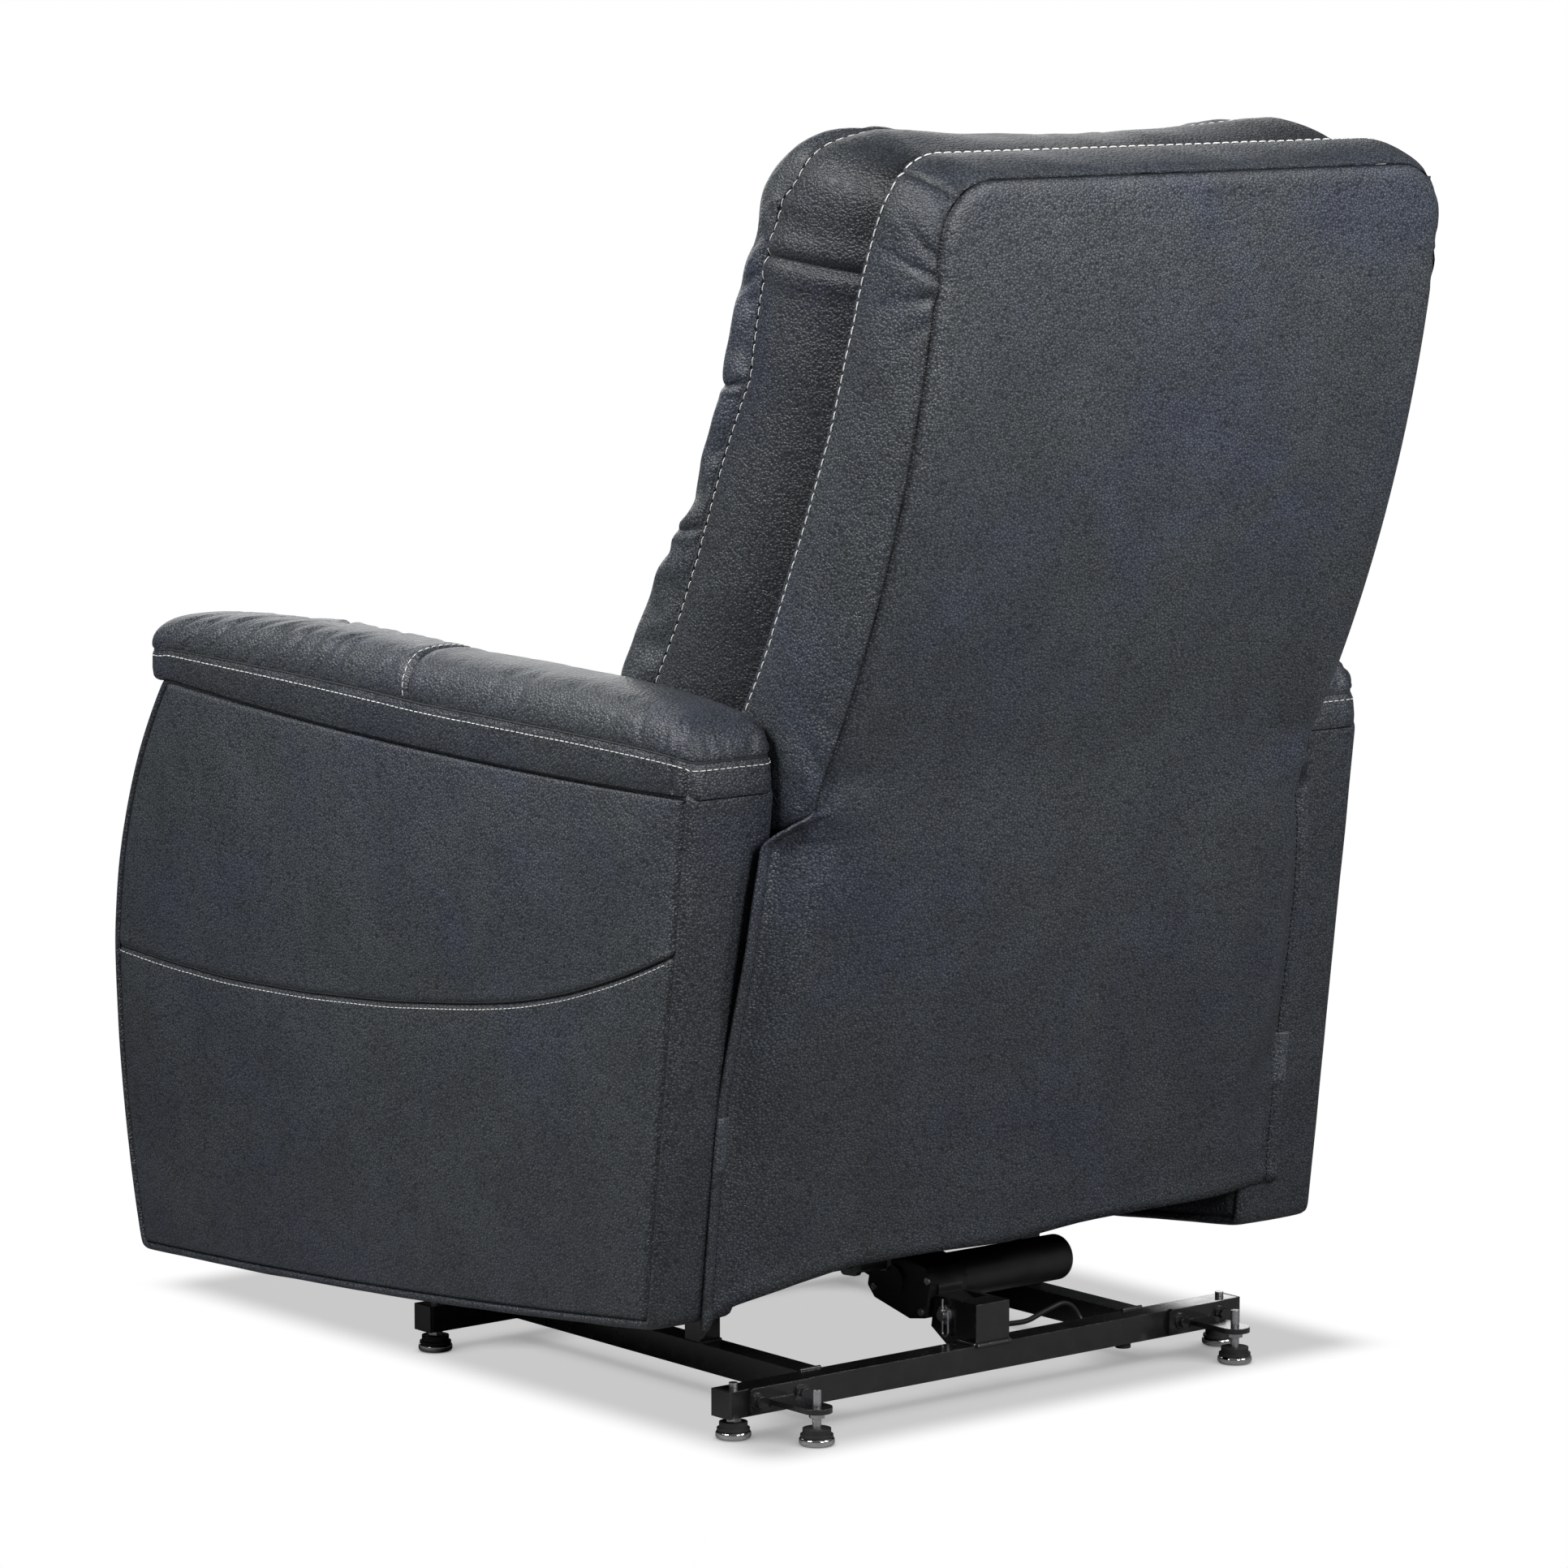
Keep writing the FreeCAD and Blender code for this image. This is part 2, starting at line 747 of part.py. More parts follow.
def make_lift_actuator():
    eye_point = lift_pivot + lever_arm
    reach = eye_point - clevis_pin
    angle = math.degrees(math.atan2(reach.z, -reach.y))
    housing, screws, motor, outer, rod, eye = actuator_parts(reach.Length, -1, lift_motor_end)

    def place(shape):
        return along_actuator(shape, clevis_pin, angle)

    add("lift_gearbox", place(housing))
    add("lift_gearbox_screws", *[place(s) for s in screws])
    add("lift_motor", place(motor))
    add("lift_outer_tube", place(outer))
    pin_half = lever_half_gap + lever_plate + 3
    pin = cross_cylinder(Vector(0, -reach.Length, 0), -pin_half, pin_half, rod_pin_radius)
    add("lift_rod", place(rod.fuse([eye, pin]).removeSplitter()))


def recline_pin():
    return Vector(recline_x, recline_pin_y, recline_pin_z)


def recline_eye():
    angle = math.radians(glide_angle)
    return recline_pin() + Vector(0, -math.cos(angle), math.sin(angle)) * recline_eye_distance


def make_recline_actuator():
    housing, _, motor, outer, rod, eye = actuator_parts(recline_eye_distance, 1, recline_motor_end)
    eye_centre = Vector(0, -recline_eye_distance, 0)
    rod = drill(rod.fuse(eye).removeSplitter(), eye_centre, -12, 12, drive_tube_radius + pin_clearance)

    def place(shape):
        return along_actuator(shape, recline_pin(), glide_angle)

    add_raised("recline_gearbox", place(housing.fuse(outer).removeSplitter()))
    add_raised("recline_gearbox", place(motor))
    add_raised("recline_rod", place(rod))


# Carriage


def make_carriage_frame():
    z = carriage_rail_z
    rail = square_tube_y(rail_offset, carriage_front_y, carriage_rear_y, z)
    add_raised("carriage_rails", *both(rail))
    top = z + tube_size
    half = tube_size / 2
    inner = cross_rail_reach - flange_thickness
    rails = []
    for y in (front_rail_y, rear_rail_y):
        y0 = y - half - flange_margin
        y1 = y + half + flange_margin
        flange = box(inner, cross_rail_reach, y0, y1, top - 6, top + tube_size + 6)
        rails.extend([square_tube_x(-inner, inner, y, top), *both(flange)])
    add_raised("carriage_cross_rails", *rails)
    tray = box(-rail_offset - half, -control_inner_x, control_rear_y - 100, control_rear_y, top, top + 3)
    case = box(
        -rail_offset + half + 15,
        -control_inner_x,
        control_rear_y - 120,
        control_rear_y,
        top - control_height,
        top,
    )
    add_raised("control_box", tray, case.makeFillet(4.0, case.Edges[:4]))


def make_carriage_plates():
    """The pivot plates that hang from the carriage's side rails, and their pins."""
    x0 = plate_x()
    x1 = x0 + plate_thickness
    z1 = carriage_rail_z + tube_size
    c = to_level(carriage_pin())
    outline = [(c.y - 14, c.z - 14), (c.y + 14, c.z - 14), (c.y + 26, z1), (c.y - 26, z1)]
    rear = plate(outline, 6.0, x0, x1)
    pin = cross_cylinder(c, x1, lift_link_x() + link_thickness + 2, link_pin_radius)
    rear = rear.fuse(pin).removeSplitter()
    d = to_level(guide_carriage_pin)
    xo = guide_link_x() + link_thickness + 2
    outline = [(d.y - 13, d.z - 13), (d.y + 13, d.z - 13), (d.y + 20, z1), (d.y - 20, z1)]
    front = plate(outline, 6.0, xo, xo + plate_thickness)
    pin_d = cross_cylinder(d, guide_link_x() - 2, xo, link_pin_radius)
    spacer = box(x0, xo, d.y - 14, d.y + 14, z1 - 20, z1 - 2)
    front = front.fuse([pin_d, spacer]).removeSplitter()
    add_raised("link_hangers", *both(rear, front))


def make_recline_clevis():
    pin = recline_pin()
    w = gearbox_half_width + 1
    z1 = carriage_rail_z + tube_size
    walls = []
    half = tube_size / 2
    outline = [
        (pin.y - 12, pin.z - 12),
        (pin.y + 12, pin.z - 12),
        (rear_rail_y + half, z1),
        (rear_rail_y - half - 12, z1),
    ]
    for x0 in (recline_x - w - clevis_wall, recline_x + w):
        wall = plate(outline, 5.0, x0, x0 + clevis_wall)
        walls.append(drill(wall, pin, x0, x0 + clevis_wall, clevis_pin_radius + pin_clearance))
    end = w + clevis_wall + 4
    shaft = cross_cylinder(pin, recline_x - end, recline_x + end, clevis_pin_radius)
    add_raised("recline_clevis", *walls, shaft)


# Arms


def arm_rear_top_y():
    return arm_rear_y + arm_rear_height * math.tan(math.radians(arm_rake))


def arm_profile(x, inset, bottom_inset):
    """The arm's side outline, drawn in by the inset on every side but the bottom."""
    rake = math.tan(math.radians(arm_rake))
    z0 = arm_bottom_z + bottom_inset
    z_rear = arm_bottom_z + arm_rear_height - inset
    z_front = arm_bottom_z + arm_front_height - inset
    y_rear_low = arm_rear_y - inset + bottom_inset * rake
    y_rear_top = arm_rear_top_y() - inset * (1 + rake)
    y_front_top = arm_front_y + arm_top_setback + inset
    y_belly = arm_front_y + inset
    y_foot = arm_front_y + arm_foot_setback + inset
    z_mid_top = (z_rear + z_front) / 2 - arm_top_sag
    belly_z = arm_bottom_z + arm_front_height * 0.45
    steps = [
        ((y_rear_low, z0),),
        ((y_rear_top, z_rear),),
        (((y_rear_top + y_front_top) / 2, z_mid_top), (y_front_top, z_front)),
        ((y_belly + arm_top_setback * 0.29, arm_bottom_z + arm_front_height * 0.76), (y_belly, belly_z)),
        ((y_belly + arm_foot_setback * 0.28, arm_bottom_z + arm_front_height * 0.18), (y_foot, z0)),
    ]
    return profile(x, (y_foot, z0), steps)


def arm_top_arc():
    """The sagging top edge of the arm, from its front corner to its rear corner."""
    front = Vector(0, arm_front_y + arm_top_setback, arm_bottom_z + arm_front_height)
    rear = Vector(0, arm_rear_top_y(), arm_bottom_z + arm_rear_height)
    middle = (front + rear) / 2 - Vector(0, 0, arm_top_sag)
    return Part.Arc(front, middle, rear).toShape().Curve


def arm_top_z(y):
    """Height of the arm's top edge at y, in the level frame."""
    arc = arm_top_arc()
    y = max(arm_front_y + arm_top_setback, min(arm_rear_top_y(), y))
    return arc.Center.z - math.sqrt(arc.Radius**2 - (y - arc.Center.y) ** 2)


def handset_recess(depth):
    """The space that the cradle takes in the right arm, measured in from its outer face."""
    return handset_box(-arm_outer_x - 5, -arm_outer_x + depth, -cradle_wall)


def handset_box(x0, x1, inset):
    """A box about the handset's middle, its outline drawn in by the inset."""
    half_y = handset_width / 2 - inset
    half_z = handset_height / 2 - inset
    return box(x0, x1, handset_y - half_y, handset_y + half_y, handset_z - half_z, handset_z + half_z)


def cradle_depth():
    return handset_depth + cradle_wall + button_proud + 1.0


def make_arms():
    width = arm_outer_x - arm_inner_x
    outer = arm_profile(arm_inner_x, 0.0, 0.0).extrude(Vector(width, 0, 0))
    outer_edges = [e for e in outer.Edges if abs(e.CenterOfMass.x - arm_outer_x) < 0.01]
    rounded = [e for e in outer_edges if e.CenterOfMass.z > arm_bottom_z + 5]
    outer = outer.makeFillet(min(5.0, cover_wall), rounded)
    inner = arm_profile(arm_inner_x + cover_wall, cover_wall, -1.0)
    inner = inner.extrude(Vector(width - 2 * cover_wall, 0, 0))
    cover = outer.cut(inner)
    add_raised("arm_cover_left", cover)
    recess = handset_recess(cradle_depth() + soft_gap)
    add_raised("arm_cover_right", mirrored(cover).cut(recess))
    boards = arm_boards()
    add_raised("arm_frame_left", *boards)
    add_raised("arm_frame_right", *[mirrored(b).cut(recess) for b in boards])


def arm_boards():
    """Inner and outer side panels with a post at each end between them."""
    inset = cover_wall + soft_gap
    x0 = arm_inner_x + inset
    x3 = arm_outer_x - inset
    x1 = x0 + panel_inner
    x2 = x3 - panel_outer
    inner = arm_profile(x0, inset, 4.0).extrude(Vector(panel_inner, 0, 0))
    outer = arm_profile(x2, inset, 4.0).extrude(Vector(panel_outer, 0, 0))
    solid = arm_profile(x1, inset, 4.0).extrude(Vector(x2 - x1, 0, 0))
    front_band = box(x1, x2, arm_front_y, arm_front_y + arm_top_setback, 0, 2000)
    rear_band = box(x1, x2, arm_rear_y - arm_post_depth, arm_rear_top_y() + 50, 0, 2000)
    lid = solid.cut([front_band, rear_band])
    lowered = lid.copy()
    lowered.translate(Vector(0, 0, -panel_inner))
    return [inner, outer, solid.common(front_band), solid.common(rear_band), lid.cut(lowered)]


def make_arm_pads():
    centre = (arm_inner_x - pad_inner_reach + overall_width / 2) / 2
    half = overall_width / 2 - centre
    front = arm_front_y + arm_top_setback - pad_front_reach
    rear = arm_rear_top_y() + pad_rear_reach
    length = rear - front
    stations = [
        (front, 0.62, 0.42),
        (front + 9, 0.92, 0.72),
        (front + 30, 1.0, 0.92),
        (arm_front_y + arm_top_setback, 1.0, 0.97),
        (front + length * 0.12, 1.0, 1.0),
        (front + length * 0.34, 1.0, 1.03),
        (front + length * 0.56, 1.0, 1.0),
        (front + length * 0.78, 1.0, 1.0),
        (rear - 24, 1.0, 0.93),
        (rear, 0.97, 0.80),
    ]
    wires = []
    for y, breadth, height in stations:
        base = arm_top_z(y) + soft_gap
        if y < arm_front_y + arm_top_setback:
            base += (arm_front_y + arm_top_setback - y) * 0.12
        rise = pad_height * height
        place = lambda u, v, y=y: Vector(centre + u, y, v)
        wires.append(pillow_wire(place, half * breadth, base, base + rise * 0.5, base + rise, 1.2, 16.0))
    pad = Part.makeLoft(wires, True, True)
    add_raised("arm_pad_left", pad)
    add_raised("arm_pad_right", mirrored(pad))


def make_handset():
    """A cradle let into the right arm, the handset in it and its four buttons."""
    depth = cradle_depth()
    x_face = -arm_outer_x
    outer = handset_box(x_face, x_face + depth, -cradle_wall)
    pocket = handset_box(x_face - 1, x_face + depth - cradle_wall, 0.0)
    add_raised("handset_cradle", outer.cut(pocket))
    x_back = x_face + depth - cradle_wall - soft_gap
    x_front = x_back - handset_depth
    case = handset_box(x_front, x_back, soft_gap)
    case = case.makeFillet(4.0, case.Edges)
    names = ("lift_up_button", "lift_down_button", "recline_open_button", "recline_close_button")
    for index, name in enumerate(names):
        y = handset_y + (0.5 - index // 2) * button_pitch_y
        z = handset_z + 25 + (0.5 - index % 2) * button_pitch_z
        centre = Vector(0, y, z)
        case = case.cut(cross_cylinder(centre, x_front - 1, x_front + button_well, button_radius + soft_gap))
        x_end = x_front + button_well - button_travel - soft_gap
        add_raised(name, cross_cylinder(centre, x_front - button_proud, x_end, button_radius))
    add_raised("handset_case", case)


# Back


def back_outline(x, rear_inset, front_reach, low, top):
    """The back's side outline between its rear curve and the front edge of its side gusset."""
    lean = math.tan(math.radians(30))
    knee_y = 172.0 - rear_inset
    knee_z = 589.0
    low_y = knee_y - (knee_z - low) * lean
    steps = [
        ((knee_y, knee_z),),
        ((299.0 - rear_inset, 841.0), (367.0 - rear_inset, top)),
        ((298.0 - front_reach, top),),
        ((254.0 - front_reach, 1070.0), (229.0 - front_reach, 1018.0)),
        ((142.0 - front_reach, 810.0), (37.0 - front_reach, 633.0)),
        ((37.0 - front_reach - (633.0 - low) * 0.585, low),),
    ]
    return profile(x, (low_y, low), steps)


back_top_z = 1097.0


def rounded_top(half_width, top, radius):
    """A prism along Y, as seen from behind the chair, that rounds the two top corners of what it cuts."""
    low = shell_bottom_z - 100
    corners = [
        Vector(-half_width, -600, low),
        Vector(half_width, -600, low),
        Vector(half_width, -600, top),
        Vector(-half_width, -600, top),
    ]
    return Part.Face(rounded_wire(corners, radius)).extrude(Vector(0, 1400, 0))


def make_back_shell():
    w = back_half_width
    outer = back_outline(-w, 0.0, -gusset_setback, shell_bottom_z - 40, back_top_z)
    outer = outer.extrude(Vector(2 * w, 0, 0))
    outer = outer.common(rounded_top(w, back_top_z, back_corner_radius))
    wi = w - shell_wall
    inner_top = back_top_z - shell_wall
    inner = back_outline(-wi, shell_inset, 200.0, shell_bottom_z - 60, inner_top)
    inner = inner.extrude(Vector(2 * wi, 0, 0))
    inner = inner.common(rounded_top(wi, inner_top, back_corner_radius - shell_wall))
    above_seam = box(-w, w, -600, 800, shell_bottom_z, back_top_z + 1)
    add_raised("back_shell", outer.cut(inner).common(above_seam))


def back_rear_y(z):
    """The back's rear surface at height z, in the level frame, where it runs straight."""
    return 172.0 - (589.0 - z) * math.tan(math.radians(30))


def make_back_frame():
    x1 = back_half_width - shell_wall - soft_gap
    x0 = x1 - stile_width
    top = back_top_z - shell_wall - back_corner_radius
    rear = 367.0 - shell_inset - soft_gap - 22
    waist = back_pivot + Vector(0, 75, 211)
    bend = Vector(0, 172 - shell_inset - soft_gap, 640)
    bow = (299.0 - shell_inset - soft_gap - 4, 841.0)
    d = stile_depth
    face = profile(
        x0,
        (back_pivot.y + 17, back_pivot.z),
        [
            ((waist.y + 17, waist.z),),
            ((bend.y, bend.z),),
            (bow, (rear, top)),
            ((rear - d, top),),
            ((bow[0] - d, bow[1]), (bend.y - d, bend.z)),
            ((waist.y - 17, waist.z),),
            ((back_pivot.y - 17, back_pivot.z),),
        ],
    )
    foot = cross_cylinder(back_pivot, x0, x1, 20.0)
    stile = face.extrude(Vector(stile_width, 0, 0)).fuse(foot).removeSplitter()
    stile = drill(stile, back_pivot, x0, x1, link_pin_radius + pin_clearance)
    top_rail = box(-x0, x0, rear - 60, rear - 42, top - 90, top - 50)
    low_rail = box(-x0, x0, back_pivot.y - 2, back_pivot.y + 18, back_pivot.z + 16, back_pivot.z + 56)
    add_raised("back_frame", *both(stile), top_rail, low_rail, *drive_ears(low_rail))
    y, z = back_pivot.y, back_pivot.z
    bracket = box(x1 + 1.5, arm_inner_x - soft_gap, y - 26, y + 26, z - 25, z + 25)
    pin = cross_cylinder(back_pivot, x0 + 4, x1 + 2, link_pin_radius)
    add_raised("back_pivots", *both(bracket.fuse(pin).removeSplitter()))


def drive_directions():
    """Unit vectors along the seat's glide, and square to it, downward."""
    angle = math.radians(glide_angle)
    glide = Vector(0, -math.cos(angle), math.sin(angle))
    down = Vector(0, -math.sin(angle), -math.cos(angle))
    return glide, down


def drive_pin():
    """The pin on the back's lever at rest, in the level frame."""
    glide, down = drive_directions()
    half = math.radians(recline_travel / 2)
    return back_pivot + (down * math.cos(half) - glide * math.sin(half)) * lever_length


def drive_ears(rail):
    """The two ears that hang from the back's lower rail, and the pin between them."""
    pin = drive_pin()
    half = yoke_thickness / 2
    ears = []
    top = back_pivot + Vector(0, 8, 22)
    for x0 in (-half - 1 - ear_thickness, half + 1):
        ears.append(link_bar(pin, top, 12.0, x0, x0 + ear_thickness).cut(rail))
    shaft = cross_cylinder(pin, -half - 1 - ear_thickness, half + 1 + ear_thickness, link_pin_radius)
    return [ears[0].fuse([ears[1], shaft]).removeSplitter()]


def drive_yoke():
    """The slotted yoke behind the seat, in which the back's pin runs."""
    pin = drive_pin()
    _, down = drive_directions()
    half = yoke_thickness / 2
    seat_end = seat_rear_y - 28
    slot_low = pin + down * 18
    slot_top = pin - down * 30
    bar = link_bar(slot_low, slot_top, 17.0, -half, half)
    arm = plate(
        [
            (pin.y + 18, slot_top.z - 4),
            (pin.y + 18, slot_top.z + 26),
            (seat_end + 40, seat_rail_z - 55),
            (seat_end + 24, seat_rail_z),
            (seat_end, seat_rail_z),
            (seat_end, seat_rail_z - 85),
            (rear_rail_y, slot_top.z + 2),
        ],
        3.0,
        -half,
        half,
    )
    sag = lever_length * (1 - math.cos(math.radians(recline_travel / 2)))
    slot_radius = link_pin_radius + yoke_clearance
    slot_end = pin + down * (sag + yoke_clearance)
    slot = link_bar(pin - down * yoke_clearance, slot_end, slot_radius, -half - 1, half + 1)
    return bar.fuse(arm).removeSplitter().cut(slot)


def make_back_cushion():
    """Three pillows over one another: head, middle and lower back, with a sewn channel between them.
    Each station is its height, its rear face, where its side band ends and its front, in the level frame."""
    stations = [
        (352, -136, -152, -164),
        (362, -131, -162, -174),
        (440, -80, -166, -182),
        (540, -22, -154, -183),
        (600, 12, -126, -172),
        (655, 45, -92, -139),
        (700, 76, -61, -113),
        (745, 103, -33, -84),
        (785, 126, -5, -56),
        (806, 138, 10, -24),
        (826, 149, 24, -28),
        (870, 171, 42, 4),
        (910, 189, 62, 26),
        (932, 198, 72, 49),
        (955, 206, 82, 36),
        (1000, 222, 91, 52),
        (1045, 238, 99, 74),
        (1080, 258, 116, 90),
        (1104, 288, 130, 104),
        (1126, 282, 152, 124),
        (1140, 262, 172, 146),
        (1149, 236, 190, 172),
    ]
    wires = []
    for z, rear, band, front in stations:
        breadth = cushion_half_width
        if z > back_top_z - 20:
            breadth -= (z - back_top_z + 20) ** 2 / 90
        place = lambda u, v, z=z: Vector(u, -v, z)
        wires.append(pillow_wire(place, breadth, -rear + soft_gap, -band, -front + 10, 5.0, 40.0))
    add_raised("back_cushion", Part.makeLoft(wires, True, False))


# Skirt behind the chair


def skirt_stations():
    """Height, half width, y of the side edges and y of the middle, all of the skirt's outer face."""
    rake = math.tan(math.radians(arm_rake))
    seam = back_rear_y(shell_bottom_z)
    rows = [(shell_bottom_z - soft_gap, back_half_width, seam, seam)]
    for z, half, belly in ((556, 326, 54), (480, 335, 45), (350, 344, 29), (240, 344, 15), (137, 344, 7)):
        edge = arm_rear_y + (z - arm_bottom_z) * rake + skirt_thickness + 2 * soft_gap
        rows.append((z, half, edge, edge + belly))
    return rows


def make_skirt():
    """One sheet from the outer back down to the hem, with a soft fold inside each side edge."""
    wires = []
    for z, half, edge, middle in skirt_stations():
        fold = min(6.0, (middle - edge) * 0.4)
        outer = [
            (half, edge),
            (half - 34, edge),
            (half - 62, (edge + middle) / 2 + fold),
            (half - 110, middle + fold / 2),
            (-half + 110, middle + fold / 2),
            (-half + 62, (edge + middle) / 2 + fold),
            (-half + 34, edge),
            (-half, edge),
        ]
        inner = [(x, y - skirt_thickness) for x, y in reversed(outer)]
        points = [Vector(x, y, z) for x, y in outer + inner]
        wires.append(Part.makePolygon(points + points[:1]))
    add_raised("rear_skirt", Part.makeLoft(wires, True, True))
    tab_x = skirt_stations()[-1][1] + soft_gap
    tab = box(tab_x, tab_x + 15, 0, 2, 0, 62)
    tab.rotate(Vector(0, 0, 0), Vector(1, 0, 0), -arm_rake)
    rake = math.radians(arm_rake)
    tab.translate(Vector(0, arm_rear_y + (tab_z - arm_bottom_z) * math.tan(rake) + soft_gap, tab_z))
    add_raised("skirt_tabs", *both(tab))


# Seat


def make_seat_frame():
    z0 = seat_rail_z
    z1 = z0 + seat_rail_height
    x1 = seat_rail_outer
    x0 = x1 - seat_rail_width
    y0 = seat_front_y + 66
    y1 = seat_rear_y - 3
    side = box(x0, x1, y0, y1, z0, z1)
    front = box(-x0, x0, y0, y0 + seat_rail_width, z0, z1)
    rear = box(-x0, x0, y1 - seat_rail_width, y1, z0, z1)
    add_raised("seat_frame", *both(side, *footrest_hangers()), front, rear, drive_yoke())
    straps = []
    pitch = (y1 - y0 - 80) / webbing_count
    for i in range(webbing_count):
        y = y0 + 40 + pitch * (i + 0.5) - webbing_width / 2
        straps.append(box(-x1 + 3, x1 - 3, y, y + webbing_width, z1, z1 + webbing_thickness))
    add_raised("seat_webbing", *straps)
    return z1 + webbing_thickness


def guide_top(y):
    """Top of the seat's inclined guides at y."""
    return 318.0 + (-270.0 - y) * math.tan(math.radians(glide_angle))


def make_seat_guides():
    y0 = -722.0
    y1 = -170.0
    depth = 24.0
    x0 = seat_rail_outer + 3.5
    z0, z1 = guide_top(y0), guide_top(y1)
    outline = [(y0, z0 - depth), (y1, z1 - depth), (y1, z1), (y0, z0)]
    add_raised("seat_guides", *both(plate(outline, 2.0, x0, arm_inner_x - soft_gap)))
    blocks = []
    top = seat_rail_z + seat_rail_height
    for near, far in ((-640.0, -570.0), (-320.0, -240.0)):
        z_near, z_far = guide_top(near) + soft_gap, guide_top(far) + soft_gap
        outline = [(near, z_near), (far, z_far), (far, top), (near, top)]
        blocks.append(plate(outline, 1.0, seat_rail_outer, seat_rail_outer + 14))
    add_raised("seat_glide_blocks", *both(*blocks))


def make_drive_tube():
    """The tube under the seat that the recline rod pushes, and the hangers that carry it."""
    eye = recline_eye()
    x1 = 270.0
    tube = cross_cylinder(eye, -x1, x1, drive_tube_radius)
    top = seat_rail_z
    outline = [(eye.y - 15, eye.z - 16), (eye.y + 15, eye.z - 16), (eye.y + 24, top), (eye.y - 24, top)]
    hanger = plate(outline, 6.0, x1, x1 + plate_thickness)
    add_raised("seat_frame", tube, *both(hanger))


def make_seat_cushion(deck):
    base = deck + soft_gap
    front = seat_front_y
    rear = seat_rear_y
    raised = ottoman_top_z + 24
    stations = [
        (rear, base, 0.86, 0.80),
        (rear - 14, base, 1.0, 0.93),
        (rear - 120, base, 1.0, 1.0),
        (rear - 260, base, 1.0, 1.0),
        (rear - 400, base, 1.0, 1.0),
        (front + 80, base, 1.0, 0.98),
        (front + 66, base + 4, 1.0, 0.97),
        (front + 54, raised, 1.0, 0.95),
        (front + 24, raised, 0.99, 0.88),
        (front + 7, raised + 6, 0.98, 0.72),
        (front, raised + 14, 0.96, 0.56),
    ]
    wires = []
    full = seat_height - base
    for y, low, breadth, share in stations:
        crest = base + full * share + seat_crown
        side_top = low + (crest - low) * 0.72
        place = lambda u, v, y=y: Vector(u, y, v)
        wires.append(pillow_wire(place, seat_half_width * breadth, low, side_top, crest, 3.0, 46.0))
    add_raised("seat_cushion", Part.makeLoft(wires, True, True))


# Footrest


def footrest_knee():
    angle = math.radians(footrest_stow_angle)
    return footrest_pivot + Vector(0, -math.cos(angle), -math.sin(angle)) * footrest_link_length


def ottoman_pivot():
    angle = math.radians(footrest_stow_angle)
    return footrest_knee() + Vector(0, -math.cos(angle), math.sin(angle)) * footrest_link_length


def make_footrest():
    x0 = footrest_link_x
    x1 = x0 + footrest_bar
    r = footrest_pin_radius
    hole = r + pin_clearance
    link = link_bar(footrest_pivot, footrest_knee(), 11.0, x0, x1)
    link = drill(link, footrest_pivot, x0, x1, hole)
    knee_pin = cross_cylinder(footrest_knee(), x1, x1 + 2 + footrest_bar, r)
    link = link.fuse(knee_pin).removeSplitter()
    add_raised("footrest_links", *both(link))
    x2 = x1 + 1
    x3 = x2 + footrest_bar
    arm = link_bar(footrest_knee(), ottoman_pivot(), 11.0, x2, x3)
    arm = drill(arm, footrest_knee(), x2, x3, hole)
    arm_pin = cross_cylinder(ottoman_pivot(), x0 - 1, x2, r)
    add_raised("footrest_arms", *both(arm.fuse(arm_pin).removeSplitter()))


def footrest_hangers():
    """The left hanger under the seat's side rail, with the pin that carries the footrest."""
    r = footrest_pin_radius
    hanger = plate(
        [
            (footrest_pivot.y - 14, footrest_pivot.z - 14),
            (footrest_pivot.y + 14, footrest_pivot.z - 14),
            (footrest_pivot.y + 20, seat_rail_z),
            (footrest_pivot.y - 20, seat_rail_z),
        ],
        5.0,
        seat_rail_outer - seat_rail_width,
        seat_rail_outer - seat_rail_width + footrest_bar,
    )
    pin = cross_cylinder(footrest_pivot, footrest_link_x - 2, seat_rail_outer - seat_rail_width, r)
    return [hanger.fuse(pin).removeSplitter()]


def make_ottoman():
    pivot = ottoman_pivot()
    rear = pivot.y - ottoman_board_gap
    front = rear - ottoman_board
    x0 = footrest_link_x
    x1 = x0 + footrest_bar
    ear = link_bar(pivot, Vector(0, rear + 10, pivot.z), 12.0, x0, x1)
    flange = box(x0, x1, rear, rear + 8, pivot.z - 34, pivot.z + 25)
    ear = ear.common(box(x0 - 1, x1 + 1, rear, pivot.y + 30, 0, 2000)).fuse(flange).removeSplitter()
    ear = drill(ear, pivot, x0, x1, footrest_pin_radius + pin_clearance)
    add_raised("ottoman_brackets", *both(ear))
    half = ottoman_half_width - 14
    add_raised("ottoman_board", box(-half, half, front, rear, ottoman_bottom_z + 8, ottoman_top_z - 8))
    face = front - soft_gap
    height = ottoman_top_z - ottoman_bottom_z
    lower = [(0.0, 0.62, 0.95), (0.04, 0.90, 0.985), (0.14, 1.0, 1.0)]
    upper = [(1.0 - share, depth, breadth) for share, depth, breadth in reversed(lower)]
    stations = lower + [(0.5, 1.0, 1.0)] + upper
    wires = []
    for share, depth, breadth in stations:
        z = ottoman_bottom_z + height * share
        thick = ottoman_depth * depth
        place = lambda u, v, z=z: Vector(u, face - v, z)
        wires.append(pillow_wire(place, ottoman_half_width * breadth, 0.0, thick * 0.6, thick, 2.0, 34.0))
    add_raised("ottoman_pad", Part.makeLoft(wires, True, True))


# The whole chair


def origin_shift():
    """Moves the origin to the middle of the chair's box, at floor level."""
    front = nodes["arm_cover_left"][0].optimalBoundingBox(False, False).YMin
    rear = nodes["back_shell"][0].optimalBoundingBox(False, False).YMax
    return -(front + rear) / 2


